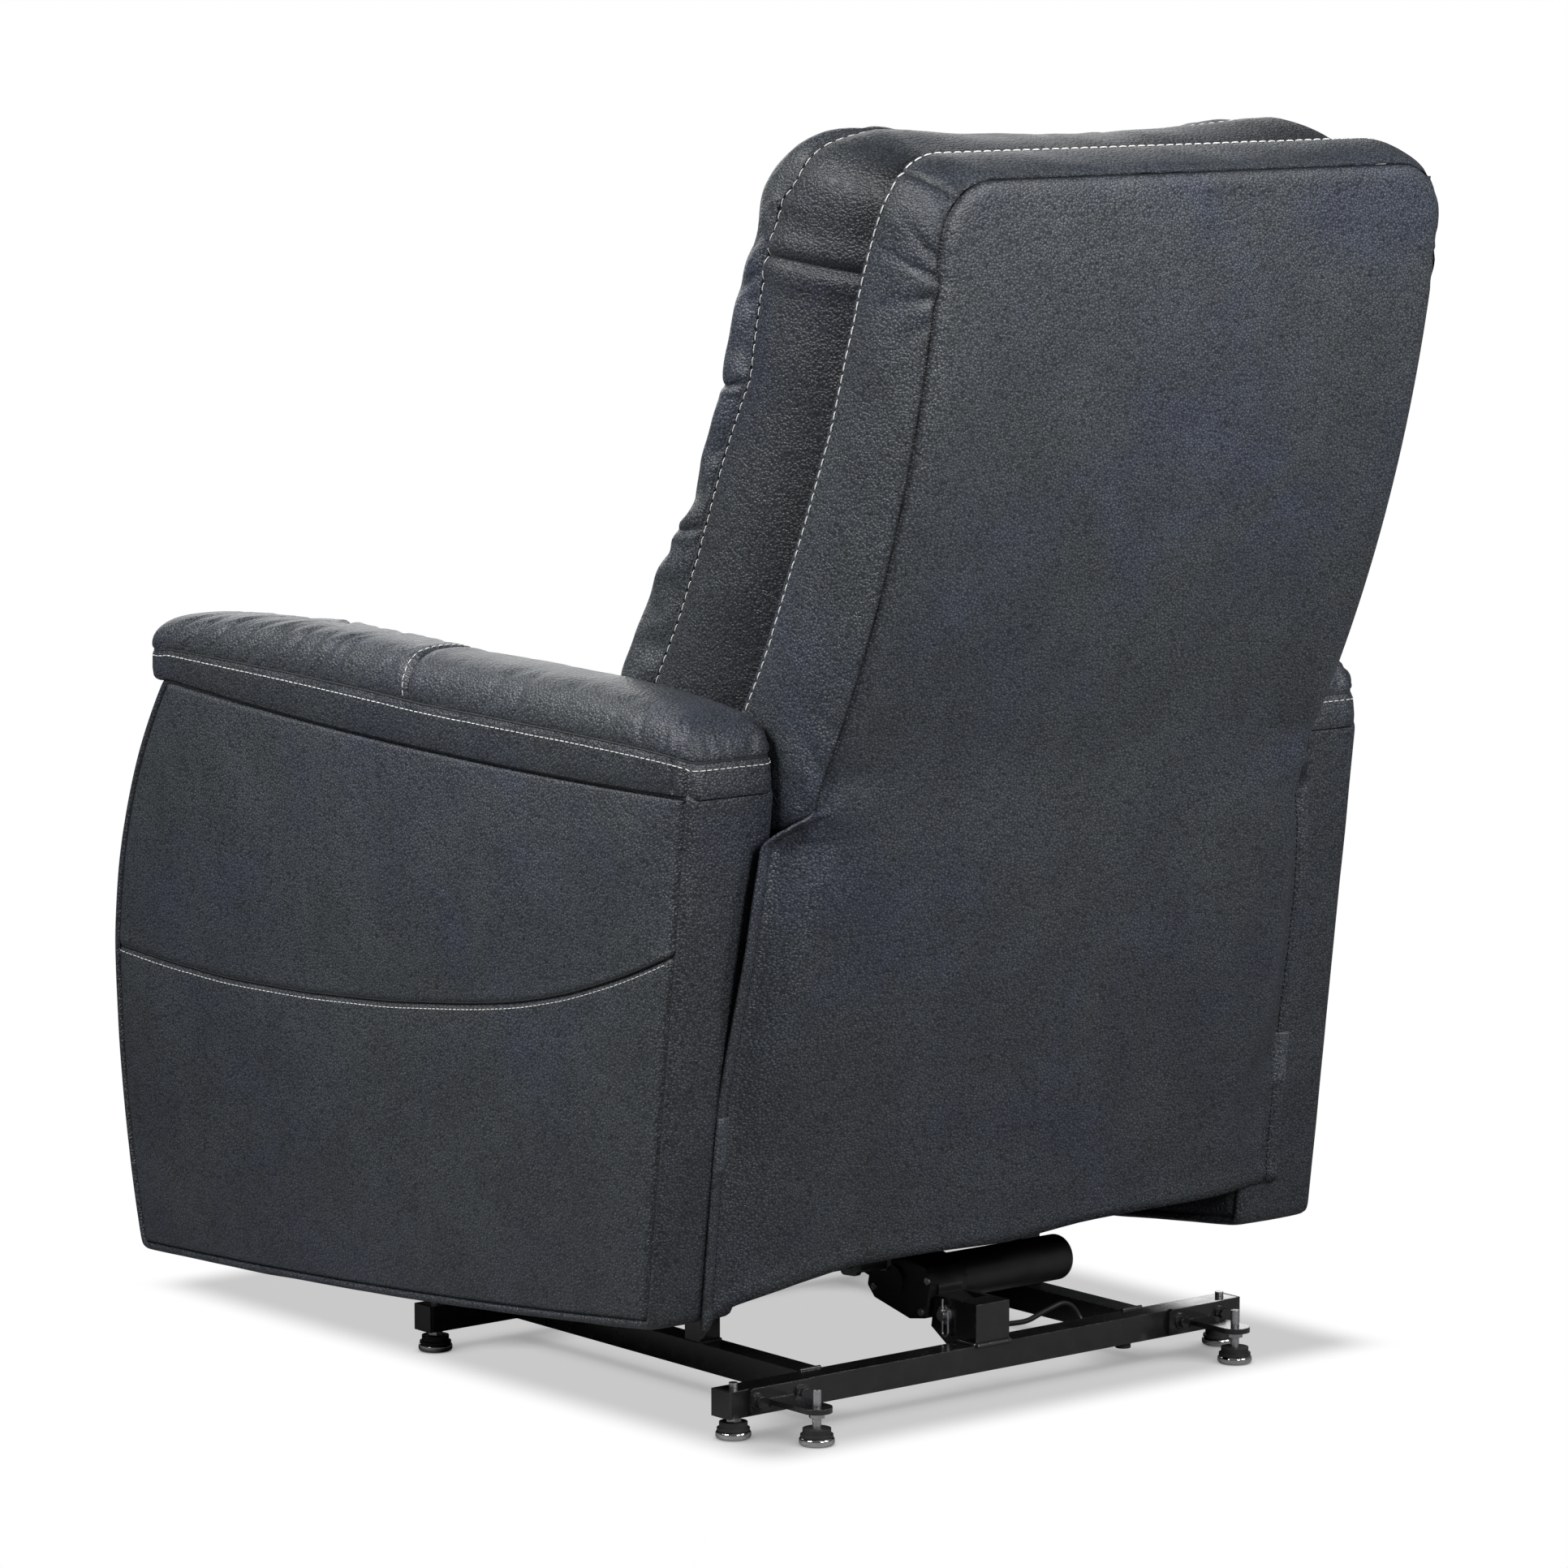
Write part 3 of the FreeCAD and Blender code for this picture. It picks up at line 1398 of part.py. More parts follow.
def build():
    make_cross_tubes()
    make_end_caps()
    make_tube_bumper()
    make_rails()
    make_posts()
    make_pivot_plates()
    gland = make_actuator_bracket()
    make_clevis_pin()
    make_feet()
    make_antitip_bracket()
    make_bracket_bolts()
    make_power_lead(gland)
    make_lift_links()
    make_guide_links()
    make_lift_actuator()
    make_recline_actuator()
    make_carriage_frame()
    make_carriage_plates()
    make_recline_clevis()
    make_arms()
    make_arm_pads()
    make_handset()
    make_back_shell()
    make_back_frame()
    make_back_cushion()
    make_skirt()
    deck = make_seat_frame()
    make_seat_guides()
    make_drive_tube()
    make_seat_cushion(deck)
    make_footrest()
    make_ottoman()


build()
shift_y = origin_shift()
print("origin shift", round(shift_y, 3), "nodes", len(nodes))
os.makedirs("parts", exist_ok=True)
for name, solids in nodes.items():
    moved = []
    for solid in solids:
        piece = solid.copy()
        piece.translate(Vector(0, shift_y, 0))
        if not piece.isValid() or len(piece.Solids) != 1:
            print("look at", name, piece.isValid(), len(piece.Solids))
        moved.append(piece)
    shape = moved[0] if len(moved) == 1 else Part.makeCompound(moved)
    shape.exportStep("parts/" + name + ".step")
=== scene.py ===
"""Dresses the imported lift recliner: leather, seams and stitching, metals, studio and camera."""

import json
import math
import random

import bmesh
import bpy
import numpy as np
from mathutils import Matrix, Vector, noise
from mathutils.bvhtree import BVHTree


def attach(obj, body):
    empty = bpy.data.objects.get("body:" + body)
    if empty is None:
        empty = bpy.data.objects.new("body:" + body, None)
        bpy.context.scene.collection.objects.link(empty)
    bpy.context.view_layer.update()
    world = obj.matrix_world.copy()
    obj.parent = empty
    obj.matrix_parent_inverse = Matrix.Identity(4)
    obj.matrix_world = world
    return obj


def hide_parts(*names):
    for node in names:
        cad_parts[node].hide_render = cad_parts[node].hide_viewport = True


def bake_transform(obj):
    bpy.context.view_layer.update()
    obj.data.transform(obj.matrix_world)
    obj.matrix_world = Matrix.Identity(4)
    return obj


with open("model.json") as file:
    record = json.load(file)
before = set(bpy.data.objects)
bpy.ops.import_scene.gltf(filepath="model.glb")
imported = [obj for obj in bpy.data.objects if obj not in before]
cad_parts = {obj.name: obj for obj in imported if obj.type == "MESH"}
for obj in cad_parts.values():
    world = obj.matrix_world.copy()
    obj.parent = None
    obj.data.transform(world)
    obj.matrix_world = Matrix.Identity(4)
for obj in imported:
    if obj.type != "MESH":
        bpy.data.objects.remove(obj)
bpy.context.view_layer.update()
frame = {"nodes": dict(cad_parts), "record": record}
scene = bpy.context.scene
scene.view_settings.view_transform = "Standard"

# Most forms are given in the chair's own level frame in millimetres, before its tilt at rest.
TILT_COS, TILT_SIN = math.cos(math.radians(4.2)), math.sin(math.radians(4.2))
SHIFT = np.array([0, 273.026, 0])
MIRROR = np.array([-1.0, 1.0, 1.0])


def to_world(points, level=True):
    p = np.array(points, float)
    if level:
        y, z = p[..., 1].copy(), p[..., 2].copy()
        p[..., 1], p[..., 2] = y * TILT_COS - z * TILT_SIN, z * TILT_COS + y * TILT_SIN
    return (p + SHIFT) / 1000


def to_level(points):
    p = np.asarray(points, float) * 1000 - SHIFT
    y, z = p[..., 1], p[..., 2]
    return np.stack([p[..., 0], y * TILT_COS + z * TILT_SIN, z * TILT_COS - y * TILT_SIN], axis=-1)


# Camera, solved from the right angles of the base

LOOK_AT = Vector((0.2359, 0.2730, 0.5799))
azimuth, elevation, distance = math.radians(39.29), math.radians(7.98), 5.7138
toward = Vector(
    (math.sin(azimuth) * math.cos(elevation), math.cos(azimuth) * math.cos(elevation), math.sin(elevation))
)
camera = bpy.data.objects.new("camera", bpy.data.cameras.new("camera"))
scene.collection.objects.link(camera)
camera.location = LOOK_AT + toward * distance
camera.rotation_mode = "QUATERNION"
camera.rotation_quaternion = (-toward).to_track_quat("-Z", "Y")
FOCAL_PX, PHOTO_PX = 8000, 1932
camera.data.sensor_width = 36
camera.data.lens = FOCAL_PX / PHOTO_PX * 36
camera.data.clip_end = 100
scene.camera = camera

# Materials


def feed(tree, socket, value):
    """Links a socket to an input, or sets its value; a float stands for a grey where a colour is wanted."""
    if isinstance(value, bpy.types.NodeSocket):
        tree.links.new(value, socket)
    elif socket.type == "RGBA":
        socket.default_value = rgba(value)
    else:
        socket.default_value = value


def rgba(value):
    return (*value, 1) if isinstance(value, tuple) else (value, value, value, 1)


def node(tree, kind, inputs=(), **settings):
    made = tree.nodes.new("ShaderNode" + kind)
    for key, value in settings.items():
        setattr(made, key, value)
    for key, value in dict(inputs).items():
        feed(tree, made.inputs[key], value)
    return made


def new_material(name):
    material = bpy.data.materials.new(name)
    material.use_nodes = True
    tree = material.node_tree
    tree.nodes.clear()
    out = node(tree, "OutputMaterial")
    shader = node(tree, "BsdfPrincipled")
    feed(tree, out.inputs["Surface"], shader.outputs["BSDF"])
    return material, tree, shader


def dress(tree, shader, colour, rough, normal, **more):
    values = {"Base Color": colour, "Roughness": rough, "Normal": normal}
    values.update({key.replace("_", " "): value for key, value in more.items()})
    for key, value in values.items():
        feed(tree, shader.inputs[key], value)


def ramp(tree, source, *stops):
    """A colour ramp on source, stops being (position, colour or grey)."""
    made = node(tree, "ValToRGB", {"Fac": source})
    elements = made.color_ramp.elements
    while len(elements) < len(stops):
        elements.new(0.5)
    for element, (position, colour) in zip(elements, stops):
        element.position = position
        element.color = rgba(colour)
    return made.outputs["Color"]


def coordinates(tree):
    return node(tree, "TexCoord").outputs["Object"]


def stretched(tree, vector, scale):
    return node(tree, "Mapping", {"Scale": scale, "Vector": vector}).outputs["Vector"]


def noise_texture(tree, vector, scale, detail=3.0, rough=0.55, distortion=0.0):
    inputs = {"Scale": scale, "Detail": detail, "Roughness": rough, "Distortion": distortion}
    return node(tree, "TexNoise", {**inputs, "Vector": vector}).outputs["Fac"]


def mix(tree, factor, a, b, blend="MIX"):
    return node(tree, "Mix", data_type="RGBA", blend_type=blend, inputs={0: factor, 6: a, 7: b}).outputs[2]


def maths(tree, operation, a, b=0.0):
    return node(tree, "Math", {0: a, 1: b}, operation=operation).outputs[0]


def bump(tree, height, strength, depth, normal=None):
    inputs = {"Strength": strength, "Distance": depth, "Height": height}
    if normal is not None:
        inputs["Normal"] = normal
    return node(tree, "Bump", inputs).outputs["Normal"]


def edge_normal(tree, radius):
    return node(tree, "Bevel", {"Radius": radius}, samples=4).outputs["Normal"]


def scaled(colour, factor):
    return tuple(c * factor for c in colour)


CHARCOAL, SLATE, NAVY = (0.0450, 0.0502, 0.0560), (0.0425, 0.0480, 0.0575), (0.0400, 0.0460, 0.0635)
SEAM_AND_PAINTED_SHADE = (0.004, 0.0045, 0.006)
PEBBLE_SCALE = 400.0


def leather_material(name, light=1.0):
    """Pebbled leather: navy clouds over charcoal, painted shade in the creases between the pebbles and
    painted highlight on their tops, satin.
    """
    material, tree, shader = new_material(name)
    place = coordinates(tree)
    clouds = noise_texture(tree, place, 6.5, 4.0, 0.55, 0.6)
    wash = noise_texture(tree, place, 16.0, 3.0, 0.6)
    tones = (scaled(tone, light) for tone in (CHARCOAL, SLATE, NAVY))
    patches = ramp(tree, clouds, *zip((0.40, 0.53, 0.68), tones))
    colour = mix(tree, 1.0, patches, ramp(tree, wash, (0.40, 0.90), (0.62, 1.09)), "MULTIPLY")
    warp = {0: noise_texture(tree, place, 90.0, 2.0), 1: (0.006, 0.006, 0.006), 2: place}
    bent = node(tree, "VectorMath", warp, operation="MULTIPLY_ADD").outputs[0]
    cells = {"Scale": PEBBLE_SCALE, "Vector": stretched(tree, bent, (0.80, 0.80, 1.10))}
    kinds = ("F1", "DISTANCE_TO_EDGE")
    middles, borders = (node(tree, "TexVoronoi", cells, feature=kind).outputs["Distance"] for kind in kinds)
    pebble = ramp(tree, middles, (0.0, 1.0), (0.28, 0.88), (0.46, 0.55), (0.72, 0.0))
    # Painted shade and highlight: the colour darkens in the creases between the pebbles and lightens on
    # their tops.
    painted_grain_shading = ramp(tree, borders, (0.0, 0.22), (0.09, 0.62), (0.22, 1.14), (0.5, 1.36))
    colour = mix(tree, 1.0, colour, painted_grain_shading, "MULTIPLY")
    # The seam attribute darkens the seams. It also paints shade where the meshes give it: the cushion band's
    # tuck, the pad bands, the arm's rear end and the gusset's tucked lip.
    seam = node(tree, "Attribute", attribute_name="seam").outputs["Fac"]
    colour = mix(tree, maths(tree, "MULTIPLY", seam, 0.88), colour, SEAM_AND_PAINTED_SHADE)
    fine = maths(tree, "MULTIPLY", noise_texture(tree, place, 1400.0, 2.0), 0.08)
    relief = maths(tree, "ADD", maths(tree, "MULTIPLY", pebble, 0.8), fine)
    soft = bump(tree, noise_texture(tree, place, 150.0, 3.0, 0.6), 0.35, 0.0012)
    gloss = ramp(tree, wash, (0.3, 0.46), (0.7, 0.39))
    dress(tree, shader, colour, gloss, bump(tree, relief, 1.0, 0.00056, soft), Specular_IOR_Level=0.32)
    return material


def enamel_material(name, colour, rough, bevel, coat):
    """Painted metal: faint orange peel, dust and rubbed light edges."""
    material, tree, shader = new_material(name)
    place = coordinates(tree)
    mottle = noise_texture(tree, place, 60.0, 4.0)
    tint = ramp(tree, mottle, (0.3, scaled(colour, 0.8)), (0.75, scaled(colour, 1.35)))
    edge = edge_normal(tree, bevel)
    normals = {0: edge, 1: node(tree, "NewGeometry").outputs["Normal"]}
    facing = node(tree, "VectorMath", normals, operation="DOT_PRODUCT").outputs["Value"]
    rubbed = ramp(tree, facing, (0.86, 1.0), (0.97, 0.0))
    chips = ramp(tree, noise_texture(tree, place, 210.0, 4.0, 0.7), (0.50, 0.0), (0.62, 1.0))
    wear = maths(tree, "MULTIPLY", maths(tree, "MULTIPLY", rubbed, chips), 0.35)
    worn = mix(tree, wear, tint, (0.22, 0.22, 0.23))
    peel = bump(tree, noise_texture(tree, place, 900.0, 2.0), 0.12, 0.0003, edge)
    gloss = ramp(tree, mottle, (0.3, rough * 0.8), (0.7, rough * 1.25))
    dress(tree, shader, worn, gloss, peel, Coat_Weight=coat, Coat_Roughness=0.12)
    return material


def metal_material(name, colour, rough, scratch):
    material, tree, shader = new_material(name)
    lines = noise_texture(tree, stretched(tree, coordinates(tree), (1.0, 1.0, 12.0)), 160.0, 3.0)
    tint = ramp(tree, lines, (0.3, scaled(colour, 0.78)), (0.7, colour))
    gloss = ramp(tree, lines, (0.3, rough), (0.7, rough * 1.5))
    scratches = bump(tree, lines, scratch, 0.0002, edge_normal(tree, 0.0004))
    dress(tree, shader, tint, gloss, scratches, Metallic=1.0)
    return material


def plastic_material(name, colour, rough, bevel=0.0006):
    material, tree, shader = new_material(name)
    place = coordinates(tree)
    grain = noise_texture(tree, place, 1600.0, 2.0)
    stain = noise_texture(tree, place, 35.0, 3.0)
    tint = ramp(tree, stain, (0.3, scaled(colour, 0.85)), (0.75, scaled(colour, 1.25)))
    gloss = ramp(tree, stain, (0.3, rough * 0.85), (0.7, rough))
    dress(tree, shader, tint, gloss, bump(tree, grain, 0.25, 0.0002, edge_normal(tree, bevel)))
    return material


def thread_material(name, colour):
    material, tree, shader = new_material(name)
    twist = noise_texture(tree, coordinates(tree), 1500.0, 2.0)
    tint = ramp(tree, twist, (0.3, scaled(colour, 0.75)), (0.65, colour))
    dress(tree, shader, tint, 0.7, bump(tree, twist, 0.4, 0.0002))
    return material


def board_material():
    material, tree, shader = new_material("raw_board")
    grain = noise_texture(tree, stretched(tree, coordinates(tree), (2.0, 30.0, 30.0)), 6.0, 6.0, 0.6, 1.2)
    tones = ((0.30, 0.20, 0.11), (0.46, 0.33, 0.19), (0.56, 0.42, 0.26))
    colour = ramp(tree, grain, *zip((0.3, 0.5, 0.7), tones))
    dress(tree, shader, colour, 0.75, bump(tree, grain, 0.3, 0.0006))
    return material


def webbing_material():
    material, tree, shader = new_material("woven_webbing")
    strands = {"Scale": 130.0, "Vector": coordinates(tree)}
    waves = [node(tree, "TexWave", strands, bands_direction=axis).outputs["Fac"] for axis in ("X", "Y")]
    weave = maths(tree, "MULTIPLY", *waves)
    dress(tree, shader, ramp(tree, weave, (0.1, 0.015), (0.8, 0.07)), 0.85, bump(tree, weave, 0.5, 0.0008))
    return material


leather = leather_material("navy_leather")
thread = thread_material("white_thread", (0.60, 0.60, 0.58))
# Dark thread for the dark stitches. The same near-black material makes the rods laid in seams as painted
# seam shadow.
dark_thread_and_seam_shadow = thread_material("dark_thread_and_seam_shadow", (0.012, 0.013, 0.016))
satin_black = enamel_material("satin_black", (0.012, 0.012, 0.0125), 0.38, 0.0010, 0.1)
weld_metal = enamel_material("painted_weld", (0.03, 0.03, 0.032), 0.2, 0.0003, 0.6)
slot_materials = {
    "black_steel": enamel_material("black_enamel", (0.0105, 0.0108, 0.0115), 0.24, 0.0016, 0.5),
    "zinc": metal_material("zinc_plate", (0.72, 0.72, 0.74), 0.24, 0.10),
    "bare_steel": metal_material("bright_steel", (0.62, 0.62, 0.63), 0.22, 0.12),
    "chrome_ring": metal_material("chrome_plate", (0.86, 0.86, 0.87), 0.07, 0.02),
    "rubber": plastic_material("matt_rubber", (0.014, 0.014, 0.015), 0.72),
    "black_plastic": plastic_material("black_plastic", (0.018, 0.018, 0.020), 0.46),
    "cord_sheath": plastic_material("cord_sheath", (0.011, 0.011, 0.012), 0.45, 0.0002),
    "board": board_material(),
    "webbing": webbing_material(),
    "upholstery": leather,
    "cushion": leather,
    "button": plastic_material("button_rubber", (0.30, 0.31, 0.33), 0.6),
}
for part in frame["record"]["subparts"]:
    mesh = frame["nodes"][part["node"]].data
    mesh.materials.clear()
    mesh.materials.append(slot_materials[part["material_slot"]])
for name in ("lift_gearbox", "recline_gearbox", "lift_motor", "lift_outer_tube"):
    frame["nodes"][name].data.materials[0] = satin_black

# Helpers for shapes


def pairs(*values):
    return list(zip(values[::2], values[1::2]))


def link(name, data):
    made = bpy.data.objects.new(name, data)
    scene.collection.objects.link(made)
    return made


def stand_in(made, body, cad):
    """The body a piece rides, and the CAD node it is shown for, which it hides."""
    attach(made, body)
    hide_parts(cad)


def arc(a, middle, b, count):
    """Points on the circle through three points of a plane."""
    (ax, ay), (mx, my), (bx, by) = a, middle, b
    d = 2 * (ax * (my - by) + mx * (by - ay) + bx * (ay - my))
    a2, m2, b2 = ax * ax + ay * ay, mx * mx + my * my, bx * bx + by * by
    cx = (a2 * (my - by) + m2 * (by - ay) + b2 * (ay - my)) / d
    cy = (a2 * (bx - mx) + m2 * (ax - bx) + b2 * (mx - ax)) / d
    r = math.hypot(ax - cx, ay - cy)
    start, via, end = (math.atan2(y - cy, x - cx) for x, y in (a, middle, b))
    turn = (end - start) % (2 * math.pi)
    if (via - start) % (2 * math.pi) > turn:
        turn -= 2 * math.pi
    angles = start + turn * np.linspace(0, 1, count)
    return np.stack([cx + r * np.cos(angles), cy + r * np.sin(angles)], axis=1)


def arc_length(points):
    return np.concatenate([[0], np.cumsum(np.linalg.norm(np.diff(points, axis=0), axis=1))])


def closed(line):
    return np.concatenate([line, line[:1]])


def resample(points, shares):
    points = np.asarray(points, float)
    run = arc_length(points)
    return np.stack([np.interp(np.asarray(shares) * run[-1], run, p) for p in points.T], axis=1)


def blurred(values, sigma, reach):
    """Values smoothed by a bell, sigma and reach in samples; straight ends stay straight."""
    kernel = np.exp(-0.5 * (np.arange(-reach, reach + 1) / sigma) ** 2)
    padded = np.pad(values, reach, mode="reflect", reflect_type="odd")
    return np.convolve(padded, kernel / kernel.sum(), mode="valid")


def table(rows, column, blur):
    """A smooth function through a column of rows, whose first column is the place along."""
    x, v = np.array(sorted((r[0], r[column]) for r in rows), float).T
    dense = np.arange(x[0] - 80, x[-1] + 80, 1.0)
    values = np.interp(dense, x, v)
    low, high = dense < x[0], dense > x[-1]
    values[low] = v[0] + (dense[low] - x[0]) * (v[1] - v[0]) / (x[1] - x[0])
    values[high] = v[-1] + (dense[high] - x[-1]) * (v[-1] - v[-2]) / (x[-1] - x[-2])
    values = blurred(values, blur, 3 * blur)
    return lambda at: np.interp(at, dense, values)


def marks(a, b, step, seams=()):
    """Places from a to b about a step apart, closer together beside each seam."""
    plain = np.linspace(a, b, max(2, int(round(abs(b - a) / step)) + 1))
    kept = [v for v in plain if all(abs(v - s) > 11 for s in seams)]
    for s in seams:
        kept += [s + d for d in (-10, -6.5, -4, -2.2, -1, 0, 1, 2.2, 4, 6.5, 10) if a <= s + d <= b]
    return np.unique(np.round(kept + [a, b], 3))


def bell(distance, width):
    return np.exp(-((np.asarray(distance) / width) ** 2))


def smooth(value):
    t = np.clip(value, 0, 1)
    return t * t * (3 - 2 * t)


def unit(vectors):
    return vectors / np.maximum(np.linalg.norm(vectors, axis=-1, keepdims=True), 1e-9)


def wobble(grid, scale, seed=0.0):
    """Soft noise from -1 to 1 at each point of a grid, scale in mm."""
    flat = grid.reshape(-1, 3) / scale
    values = [noise.noise(Vector((p[0] + seed, p[1] - seed, p[2] + 2 * seed))) for p in flat]
    return np.array(values).reshape(grid.shape[:-1])


def grid_normals(grid, wrap=False):
    g = np.concatenate([grid[:, -2:], grid, grid[:, :2]], axis=1) if wrap else grid
    n = unit(np.cross(np.gradient(g, axis=0), np.gradient(g, axis=1)))
    return n[:, 2:-2] if wrap else n


def coons(bottom, top, left, right, us, vs):
    """A surface between four border curves: rows go up with vs, columns across with us."""
    c0, c1 = resample(bottom, us), resample(top, us)
    d0, d1 = resample(left, vs), resample(right, vs)
    u, v = np.asarray(us)[None, :, None], np.asarray(vs)[:, None, None]
    ruled = (1 - v) * c0[None] + v * c1[None] + (1 - u) * d0[:, None] + u * d1[:, None]
    corners = (1 - u) * (1 - v) * c0[0] + u * (1 - v) * c0[-1] + (1 - u) * v * c1[0] + u * v * c1[-1]
    return ruled - corners


def piece(name, patches, material=leather, weld=0.00012, level=True):
    """One mesh from patches of (grid, seam strength, wrap). The seam strength darkens the leather at its
    seams, and also as painted shade in tucks and recesses.
    """
    bm = bmesh.new()
    layer = bm.verts.layers.float.new("seam")
    for grid, seam, wrap in patches:
        rows, cols = grid.shape[:2]
        seam = np.zeros((rows, cols)) + seam
        made = []
        for p, s in zip(to_world(grid, level).reshape(-1, 3), seam.ravel()):
            vertex = bm.verts.new(p)
            vertex[layer] = float(s)
            made.append(vertex)
        for i in range(rows - 1):
            for j in range(cols if wrap else cols - 1):
                low, k = i * cols, (j + 1) % cols
                bm.faces.new((made[low + j], made[low + k], made[low + cols + k], made[low + cols + j]))
    bmesh.ops.remove_doubles(bm, verts=bm.verts, dist=weld)
    bmesh.ops.dissolve_degenerate(bm, dist=1e-6, edges=bm.edges)
    bmesh.ops.recalc_face_normals(bm, faces=bm.faces)
    for face in bm.faces:
        face.smooth = True
    mesh = bpy.data.meshes.new(name)
    bm.to_mesh(mesh)
    bm.free()
    mesh.materials.append(material)
    return link(name, mesh)


def apply_modifiers(target):
    evaluated = target.evaluated_get(bpy.context.evaluated_depsgraph_get())
    mesh = bpy.data.meshes.new_from_object(evaluated)
    target.modifiers.clear()
    target.data = mesh
    return target


def subdivide(target, levels=1):
    modifier = target.modifiers.new("subdivision", "SUBSURF")
    modifier.levels = modifier.render_levels = levels
    return apply_modifiers(target)


def mesh_points(target):
    co = np.zeros(len(target.data.vertices) * 3)
    target.data.vertices.foreach_get("co", co)
    return co.reshape(-1, 3)


def inflate(target, pins, pressure, cap, grow=0.02, frames=16):
    """A short cloth simulation under pressure. pins, 0 to 1, hold seams; cap limits the swell in metres."""
    start = mesh_points(target)
    group = target.vertex_groups.new(name="seams")
    for index, weight in enumerate(pins):
        if weight > 0.02:
            group.add([index], float(min(1.0, weight)), "REPLACE")
    cloth = target.modifiers.new("cloth", "CLOTH")
    settings = cloth.settings
    settings.quality = 6
    settings.mass = 0.35
    settings.tension_stiffness = settings.compression_stiffness = 12
    settings.shear_stiffness = 6
    settings.bending_stiffness = 1.5
    settings.use_pressure = True
    settings.uniform_pressure_force = pressure
    settings.shrink_min = -grow
    settings.vertex_group_mass = "seams"
    settings.effector_weights.gravity = 0
    cloth.collision_settings.use_collision = False
    cloth.point_cache.frame_start, cloth.point_cache.frame_end = 1, frames
    for number in range(1, frames + 1):
        scene.frame_set(number)
    apply_modifiers(target)
    target.vertex_groups.clear()
    move = mesh_points(target) - start
    move *= np.minimum(1.0, cap / np.maximum(np.linalg.norm(move, axis=1, keepdims=True), 1e-9))
    target.data.vertices.foreach_set("co", (start + move).ravel())
    target.data.update()
    scene.frame_set(1)
    return target


def surface_of(target):
    vertices = [v.co.copy() for v in target.data.vertices]
    return BVHTree.FromPolygons(vertices, [tuple(p.vertices) for p in target.data.polygons])


def rods(name, runs, material):
    """Closed six-sided rods in one mesh, each a run of (middle, across, up, radius) in metres."""
    vertices, faces = [], []
    for run in runs:
        base = len(vertices)
        for middle, across, up, radius in run:
            turns = (side * math.pi / 3 for side in range(6))
            vertices += [middle + (across * math.cos(a) + up * math.sin(a)) * radius for a in turns]
        for low in range(base, len(vertices) - 6, 6):
            for side in range(6):
                k = (side + 1) % 6
                faces.append((low + side, low + k, low + 6 + k, low + 6 + side))
        faces.append(tuple(reversed(range(base, base + 6))))
        faces.append(tuple(range(len(vertices) - 6, len(vertices))))
    mesh = bpy.data.meshes.new(name)
    mesh.from_pydata(vertices, [], faces)
    mesh.polygons.foreach_set("use_smooth", [True] * len(mesh.polygons))
    mesh.materials.append(material)
    return link(name, mesh)


# Each stitch's stations: share of its length, of its radius, and height in radii
STITCH = [
    (-0.5, 0.30, -0.9), (-0.40, 0.85, -0.1), (-0.2, 1.0, 0.25), (0.2, 1.0, 0.25), (0.40, 0.85, -0.1),
    (0.5, 0.30, -0.9),
]


def stitches(name, target, lines, material=thread, pitch=11.0, length=8.6, radius=0.62, lift=0.35):
    """Rows of thread along lines of points in mm, laid on the target's surface."""
    tree = surface_of(target)
    runs = []
    for line in lines:
        points = to_world(line)
        run = arc_length(points)[-1] * 1000
        count = max(1, int(run / pitch))
        shares = (np.arange(count) + 0.5) / count
        quarter = 0.25 * pitch / run
        places = (resample(points, np.clip(shares + d, 0, 1)) for d in (0, quarter, -quarter))
        for centre, a, b in zip(*places):
            near, normal, _, _ = tree.find_nearest(Vector(centre))
            along = Vector(a - b)
            along = (along - normal * along.dot(normal)).normalized()
            rings = []
            for share, width, height in STITCH:
                middle = near + along * (share * length / 1000) + normal * ((lift + height * radius) / 1000)
                rings.append((middle, normal.cross(along), normal, radius * width / 1000))
            runs.append(rings)
    return rods(name, runs, material)


def seam_shadow_cords(name, target, lines, radius=0.55, sink=0.1):
    """A near-black rod sunk in a seam as painted seam shadow, one unbroken run along each line of points in
    mm.
    """
    tree = surface_of(target)
    runs = []
    for line in lines:
        points = to_world(line)
        count = max(3, int(arc_length(points)[-1] * 1000 / 3.0))
        found = [tree.find_nearest(Vector(p))[:2] for p in resample(points, np.linspace(0, 1, count))]
        middles = np.array([near - normal * (sink / 1000) for near, normal in found])
        middles[1:-1] = 0.5 * middles[1:-1] + 0.25 * (middles[2:] + middles[:-2])
        rings = []
        for k, (_, normal) in enumerate(found):
            along = Vector(middles[min(k + 1, count - 1)] - middles[max(k - 1, 0)]).normalized()
            rings.append((Vector(middles[k]), normal.cross(along).normalized(), normal, radius / 1000))
        runs.append(rings)
    return rods(name, runs, dark_thread_and_seam_shadow)


def tube(name, points, radius, material, sides, level=True, wave=0.0, hint=(0, 0, 1)):
    """A round tube along points in mm, closed at its ends. wave roughens its thickness."""
    path = np.asarray(points, float)
    ahead = np.roll(path, -1, axis=0) - np.roll(path, 1, axis=0)
    ahead[0], ahead[-1] = path[1] - path[0], path[-1] - path[-2]
    side = unit(np.cross(unit(ahead), np.asarray(hint, float)))
    up = np.cross(side, unit(ahead))
    radii = radius * (1 + wave * np.abs(np.sin(np.arange(len(path)) * 1.3)))[:, None]
    angles = np.linspace(0, 2 * math.pi, sides, endpoint=False)
    grid = np.stack([path + radii * (side * math.cos(a) + up * math.sin(a)) for a in angles], axis=1)
    caps = [np.stack([grid[end], np.repeat(path[end][None], sides, axis=0)]) for end in (0, -1)]
    return piece(name, [(patch, 0.0, True) for patch in (grid, *caps)], material, weld=1e-6, level=level)


